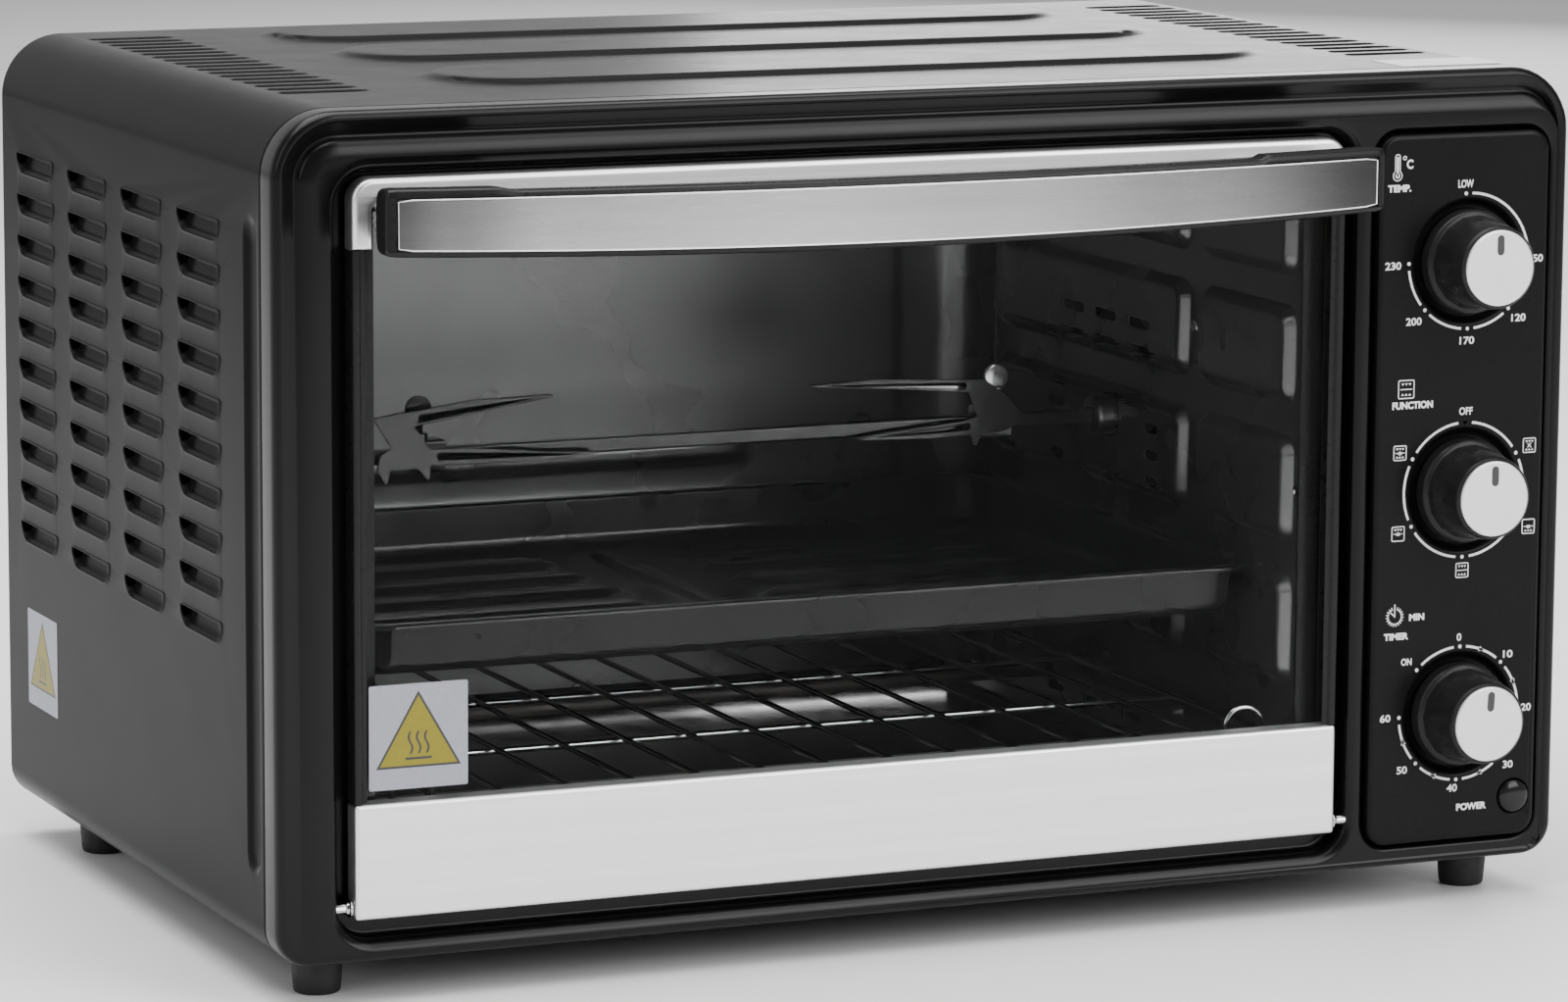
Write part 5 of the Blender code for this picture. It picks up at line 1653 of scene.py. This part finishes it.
def support():
    """Bent bracket that carries the spit's round end, screwed to the left wall."""
    x0 = CX0 + 0.35
    o = [(-9.0, -14.0), (9.0, -14.0), (9.0, 3.0), (3.6, 3.0), (3.6, -0.4), (2.4, -2.9), (0.0, -3.7), (-2.4, -2.9), (-3.6, -0.4), (-3.6, 3.0), (-9.0, 3.0)]
    parts = []
    for a, b in ((x0 + 2.2, x0 + 8.4),):
        rings = [[(x, SD + u, SZ + v_) for u, v_ in o] for x in (a, b)]
        n = len(o)
        v = rings[0] + rings[1]
        f = [(i, (i + 1) % n, n + (i + 1) % n, n + i) for i in range(n)]
        co, tri, _ = flat_mesh(o)
        base = len(v)
        v = v + [(a, SD + u, SZ + w) for u, w in co] + [(b, SD + u, SZ + w) for u, w in co]
        f += [tuple(base + i for i in t) for t in tri] + [tuple(base + len(co) + i for i in t[::-1]) for t in tri]
        parts.append((v, f))
    v, f = join_data(*parts)
    bracket = obj_from("spit_support_bracket", v, f, STEEL, "oven", smooth=35, merge=0.003, bevel=(0.35, 2))
    v, f = slab(x0, x0 + 2.1, SD - 9, SD + 9, SZ - 14, SZ + 3)
    plate = obj_from("spit_support_plate", v, f, STEEL, "oven", smooth=35, bevel=(0.5, 2))
    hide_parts("spit_support")


support()

# ------------------------------------------------------------------ wire rack
RX0, RX1, RD0, RD1, RZ = -226.0, 156.0, 24.0, 298.0, 68.5


def wire_rack():
    r = 13.0
    frame_pts = []
    for cx, cd, a0 in ((RX1 - r, RD0 + r, -90), (RX1 - r, RD1 - r, 0), (RX0 + r, RD1 - r, 90), (RX0 + r, RD0 + r, 180)):
        for k in range(7):
            a = math.radians(a0 + 15 * k)
            frame_pts.append((cx + (r - 1.9) * math.cos(a), cd + (r - 1.9) * math.sin(a), RZ))
    parts = [tube(frame_pts, 1.9, 10, False, True)]
    n = 14
    for k in range(1, n):
        x = RX0 + 1.9 + (RX1 - RX0 - 3.8) * k / n
        parts.append(tube([(x, RD0 + 1.2, RZ + 0.9), (x, RD0 + 3.2, RZ + 1.35), (x, 161.0, RZ + 1.35), (x, RD1 - 3.2, RZ + 1.35), (x, RD1 - 1.2, RZ + 0.9)], 1.2, 8))
    for d in (115.0, 207.0):
        parts.append(tube([(RX0 + 1.9, d, RZ - 1.0), (-35.0, d, RZ - 1.0), (RX1 - 1.9, d, RZ - 1.0)], 1.4, 8))
    v, f = join_data(*parts)
    o = obj_from("rack_wires", v, f, CHROME, "rack", smooth=60)
    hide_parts("wire_rack")
    for side, xa, xb in (("left", -218.0, -202.0), ("right", 132.0, 148.0)):
        pts = smooth_path([(xa, RD0 + 2.5, RZ - 1.2), (xa, RD0 - 1.6, RZ + 1.0), (xa + 0.2, RD0 - 1.9, RZ + 7.0), (xa + 2.6, RD0 - 1.9, RZ + 11.0),
                           (xa + 6.0, RD0 - 1.9, RZ + 12.5), (xb - 6.0, RD0 - 1.9, RZ + 12.5), (xb - 2.6, RD0 - 1.9, RZ + 11.0), (xb - 0.2, RD0 - 1.9, RZ + 7.0),
                           (xb, RD0 - 1.6, RZ + 1.0), (xb, RD0 + 2.5, RZ - 1.2)], 6)
        v, f = tube(pts, 1.3, 12)
        o = obj_from(f"rack_hook_{side}_wire", v, f, CHROME, "rack", smooth=60)
        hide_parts(f"rack_hook_{side}")


wire_rack()

# ------------------------------------------------------------------ dark sheet behind the right wall: painted shade


def shade_sheet_behind_louvres():
    """Folded dark sheet inside the casing, behind the right side's louvres and the rear vents: painted shade, so the
    inside of the casing reads dark through them.
    """
    plan = [(168.0, 329.0), (262.2, 329.0), (262.2, 26.0), (262.9, 26.0), (262.9, 329.7), (168.0, 329.7)]
    v = [(x, d, z) for z in (26.0, 318.0) for x, d in plan]
    n = len(plan)
    f = [tuple(range(n)), tuple(range(n, 2 * n))] + [(i, (i + 1) % n, n + (i + 1) % n, n + i) for i in range(n)]
    obj_from("shade_sheet_behind_louvres", v, f, ZINC, "oven", smooth=30, bevel=(0.2, 1))


shade_sheet_behind_louvres()

# ------------------------------------------------------------------ trays


def baking_tray():
    """Drawn tray: rolled rim, sloping walls, rounded corners and two sets of floor ribs."""
    x0, x1, d0, d1 = -226.0, 156.0, 38.0, 298.0
    zr, zf = 135.0, 114.0
    n = 8
    def ring(off, z, r):
        return [(x, d, z) for x, d in rr(x0, x1, d0, d1, r, n, off)]
    rim = [ring(0.9, zr - 2.0, 16.0), ring(0.15, zr - 1.9, 16.0), ring(0.0, zr - 1.2, 16.0), ring(0.3, zr - 0.4, 16.0), ring(1.0, zr, 16.0), ring(5.4, zr, 16.0),
           ring(6.4, zr - 0.3, 16.5), ring(7.0, zr - 1.4, 17.0), ring(8.6, zf + 6.0, 17.0), ring(9.4, zf + 3.2, 17.0), ring(10.8, zf + 1.6, 17.0), ring(13.0, zf + 1.0, 17.0)]
    v, f = loft(rim)
    outline = rr(x0, x1, d0, d1, 17.0, n, 13.0)
    loops, special = [], []
    for cx, half in ((-129.0, 68.0), (60.0, 72.0)):
        for d in (82.0, 116.0, 150.0, 184.0, 218.0, 252.0):
            for off, hh in ((-1.4, 0.0), (0.0, 0.2), (1.6, 0.8), (3.4, 1.0)):
                lp = stadium(cx, d, half - off, 8.5, 0, 8, off)
                loops.append(lp)
                special.append((np.array(lp), 2.2 * hh))
    for off, hh in ((-1.2, 0.0), (0.0, 0.25), (1.4, 0.85), (2.8, 1.0)):
        lp = stadium(-37.0, 168.0, 96.0 - off, 6.0, 1, 8, off)
        loops.append(lp)
        special.append((np.array(lp), 2.4 * hh))
    co, tri, _ = flat_mesh(outline, [], loops)
    key = {}
    for arr, hh in special:
        for p in arr:
            key[(round(p[0], 3), round(p[1], 3))] = hh
    floor = ([(x, d, zf + 1.0 + key.get((round(x, 3), round(d, 3)), 0.0)) for x, d in co], [tuple(t) for t in tri])
    v, f = join_data((v, f), floor)
    o = obj_from("baking_tray_drawn", v, f, TRAY, "tray", smooth=50, merge=0.004, weighted=True, solid=0.7, facing=(0, 0, 1))
    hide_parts("baking_tray")


baking_tray()


def crumb():
    x0, x1, d0, d1 = -227.3, 157.3, 18.2, 337.8
    n = 5
    def ring(off, z, r=7.0):
        return [(x, d, z) for x, d in rr(x0, x1, d0, d1, r, n, off)]
    rings = [ring(0.0, 44.2), ring(0.0, 45.1), ring(0.4, 45.4), ring(1.1, 45.2), ring(1.6, 44.2), ring(2.6, 39.8), ring(3.8, 38.2), ring(6.0, 37.5)]
    v, f = loft(rings, True, False, True)
    parts = [(v, f)]
    v, f = join_data(*parts)
    o = obj_from("crumb_tray_pressed", v, f, TRAY, "crumb", smooth=50, weighted=True, solid=0.8, facing=(0, 0, 1))
    grip = [(-60.0, 337.4), (-58.0, 345.0), (-56.0, 346.0), (-14.0, 346.0), (-12.0, 345.0), (-10.0, 337.4)]
    n = len(grip)
    v = [(x, d, 38.6) for x, d in grip] + [(x, d, 39.7) for x, d in grip]
    f = [tuple(range(n))[::-1], tuple(range(n, 2 * n))] + [(i, (i + 1) % n, n + (i + 1) % n, n + i) for i in range(n)]
    obj_from("crumb_tray_pull", v, f, TRAY, "crumb", smooth=35, bevel=(0.3, 2))
    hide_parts("crumb_tray")


crumb()

# ------------------------------------------------------------------ feet, rear, underside
for side, sx in (("left", -1), ("right", 1)):
    for row, fd in (("front", 30.0), ("rear", 293.0)):
        prof = [(9.4, 15.9), (9.9, 15.6), (10.0, 15.0), (9.6, 9.0), (9.1, 3.0), (8.9, 1.1), (8.5, 0.35), (7.7, 0.0), (5.0, 0.0), (4.6, 0.6), (4.4, 2.2), (0.4, 2.2)]
        v, f = revolve(prof, (sx * 245.0, fd, 0.0), "Z", 48)
        o = obj_from(f"foot_{row}_{side}_rubber", v, f, RUBBER, "oven", smooth=38)
        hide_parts(f"foot_{row}_{side}")


def rear_panel():
    """Rear cover with a pressed border field, vent slots, the crumb-tray slot and the cord hole."""
    outline = []
    outline = rr(-268.4, 268.4, 19.3, 331.4, (11.8, 23.8), 8)
    holes, loops, special = [], [], []
    holes.append(rr(-229.5, 159.5, 34.5, 48.0, 1.5, 3))
    ring = [(205.0 + 7.5 * math.cos(2 * math.pi * k / 28), 60.0 + 7.5 * math.sin(2 * math.pi * k / 28)) for k in range(28)]
    holes.append(ring)
    def put(lp, h):
        loops.append(lp)
        special.append((np.array(lp), h))
    for off, h in ((0.0, 0.0), (1.0, 0.3), (2.2, 1.2), (3.4, 1.6)):
        put(rr(-235.0, 150.0, 70.0, 305.0, 14.0, 6, off), h)
    for k in range(12):
        z = 130.0 + 12.5 * k
        for cx in (216.0,):
            sl = stadium(cx, z, 30.0, 2.3, 0, 5)
            holes.append(sl)
            put(stadium(cx, z, 31.0, 2.3, 0, 5, -1.0), 0.0)
            special.append((np.array(sl), -0.5))
    co, tri, _ = flat_mesh(outline, holes, loops)
    key = {}
    for arr, hh in special:
        for p in arr:
            key[(round(p[0], 3), round(p[1], 3))] = hh
    v = [(x, 339.8 + key.get((round(x, 3), round(z, 3)), 0.0), z) for x, z in co]
    o = obj_from("rear_cover", v, [tuple(t) for t in tri], PAINT, "oven", smooth=50, weighted=True, solid=0.8, facing=(0, 1, 0))
    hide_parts("rear_panel")
    for i, (x, z) in enumerate(((-255, 40), (-255, 175), (-255, 312), (255, 40), (255, 175), (255, 312), (-120, 322), (120, 322), (0, 57), (-200, 57))):
        screw_head(f"rear_screw_{i}", (x, 339.85, z), (0, 1, 0), 3.6, ZINC, "oven", 1.5)


rear_panel()


def base():
    outline = [(-252.0, 18.0), (252.0, 18.0), (252.0, 337.0), (-252.0, 337.0)]
    holes, loops, special = [], [], []
    for k in range(9):
        for cx in (-150.0, -60.0, 30.0, 120.0):
            sl = stadium(cx, 70.0 + 25 * k, 26.0, 2.6, 0, 5)
            holes.append(sl)
    co, tri, _ = flat_mesh(outline, holes)
    v = [(x, d, 17.5) for x, d in co]
    o = obj_from("base_sheet", v, [tuple(t) for t in tri], PAINT, "oven", smooth=50, weighted=True, solid=0.9, facing=(0, 0, -1))
    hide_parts("base_plate")


base()
for i, (x, d) in enumerate(((-245, 120), (-245, 220), (245, 120), (245, 220))):
    screw_head(f"base_screw_{i}", (x, d, 15.95), (0, 0, -1), 3.4, ZINC, "oven", 1.3)

# screws seen on the cavity's right wall
screw_head("cavity_screw_0", (159.2, 106.0, 221.5), (-1, 0, 0), 3.0, CHROME, "oven", 1.3)
screw_head("cavity_screw_1", (159.2, 16.8, 167.5), (-1, 0, 0), 2.6, CHROME, "oven", 1.1)

for n, m in (("thermostat", ZINC), ("selector_switch", ZINC), ("timer_mechanism", ZINC), ("rotisserie_motor", ZINC), ("fan_motor", ZINC),
             ("fan_blade", ZINC), ("fan_shaft", ZINC), ("cord_gland", RUBBER)):
    drape(n, m)

# ------------------------------------------------------------------ floor and light


def stage():
    floor = Mat("pale_floor", (0.93, 0.93, 0.93), 0.6)
    floor.colour_from(floor.noise(3.0, 2.0), (0.92, 0.92, 0.92), (0.94, 0.94, 0.94))
    floor.rough_from(floor.noise(30.0, 2.0), 0.58, 0.66)
    bm = bmesh.new()
    bmesh.ops.create_grid(bm, x_segments=1, y_segments=1, size=9.0)
    mesh = bpy.data.meshes.new("floor")
    bm.to_mesh(mesh)
    bm.free()
    o = bpy.data.objects.new("floor", mesh)
    scene.collection.objects.link(o)
    mesh.materials.append(floor.m)


def world():
    w = bpy.data.worlds.new("studio_world")
    scene.world = w
    w.use_nodes = True
    nt = w.node_tree
    bg = nt.nodes["Background"]
    tc = nt.nodes.new("ShaderNodeTexCoord")
    sep = nt.nodes.new("ShaderNodeSeparateXYZ")
    nt.links.new(tc.outputs["Generated"], sep.inputs["Vector"])

    def ramp(socket, lo, hi, stops):
        mr = nt.nodes.new("ShaderNodeMapRange")
        mr.inputs["From Min"].default_value = lo
        mr.inputs["From Max"].default_value = hi
        nt.links.new(socket, mr.inputs["Value"])
        r = nt.nodes.new("ShaderNodeValToRGB")
        e = r.color_ramp.elements
        while len(e) < len(stops):
            e.new(0.5)
        for el, (pos, tone) in zip(e, stops):
            el.position, el.color = pos, (tone, tone, tone, 1)
        nt.links.new(mr.outputs["Result"], r.inputs["Fac"])
        return r.outputs["Color"]

    # brighter behind the oven and low down, darker towards the front and overhead
    low = ramp(sep.outputs["Z"], -1.0, 1.0, [(0.45, 0.85), (0.60, 1.0), (0.72, 0.55), (0.95, 0.35)])
    back = ramp(sep.outputs["Y"], -1.0, 1.0, [(0.25, 0.38), (0.62, 0.6), (0.85, 1.0)])
    mul = nt.nodes.new("ShaderNodeMixRGB")
    mul.blend_type = "MULTIPLY"
    mul.inputs["Fac"].default_value = 1.0
    nt.links.new(low, mul.inputs["Color1"])
    nt.links.new(back, mul.inputs["Color2"])
    nt.links.new(mul.outputs["Color"], bg.inputs["Color"])
    bg.inputs["Strength"].default_value = 0.8


def area(name, at, target, size, power, size_y=None, tint=(1, 1, 1)):
    l = bpy.data.lights.new(name, "AREA")
    l.energy = power
    l.color = tint
    l.shape = "RECTANGLE"
    l.size = size
    l.size_y = size_y or size
    o = bpy.data.objects.new(name, l)
    scene.collection.objects.link(o)
    o.location = at
    o.rotation_euler = (Vector(target) - Vector(at)).to_track_quat("-Z", "Y").to_euler()
    return o


stage()
world()
area("top_softbox", (-0.3, 0.2, 2.6), (0, 0, 0.1), 3.0, 140, 2.4)
area("left_softbox", (-2.6, -0.9, 1.5), (-0.1, 0, 0.2), 1.4, 20, 1.8)
area("front_softbox", (1.5, -2.9, 1.4), (0, 0, 0.15), 1.9, 62, 1.4)
area("rear_softbox", (2.8, 2.7, 0.9), (0.1, 0, 0.3), 3.4, 40, 1.0)
area("high_front_softbox", (1.3, -1.7, 2.4), (0, 0, 0.3), 1.6, 38, 1.6)
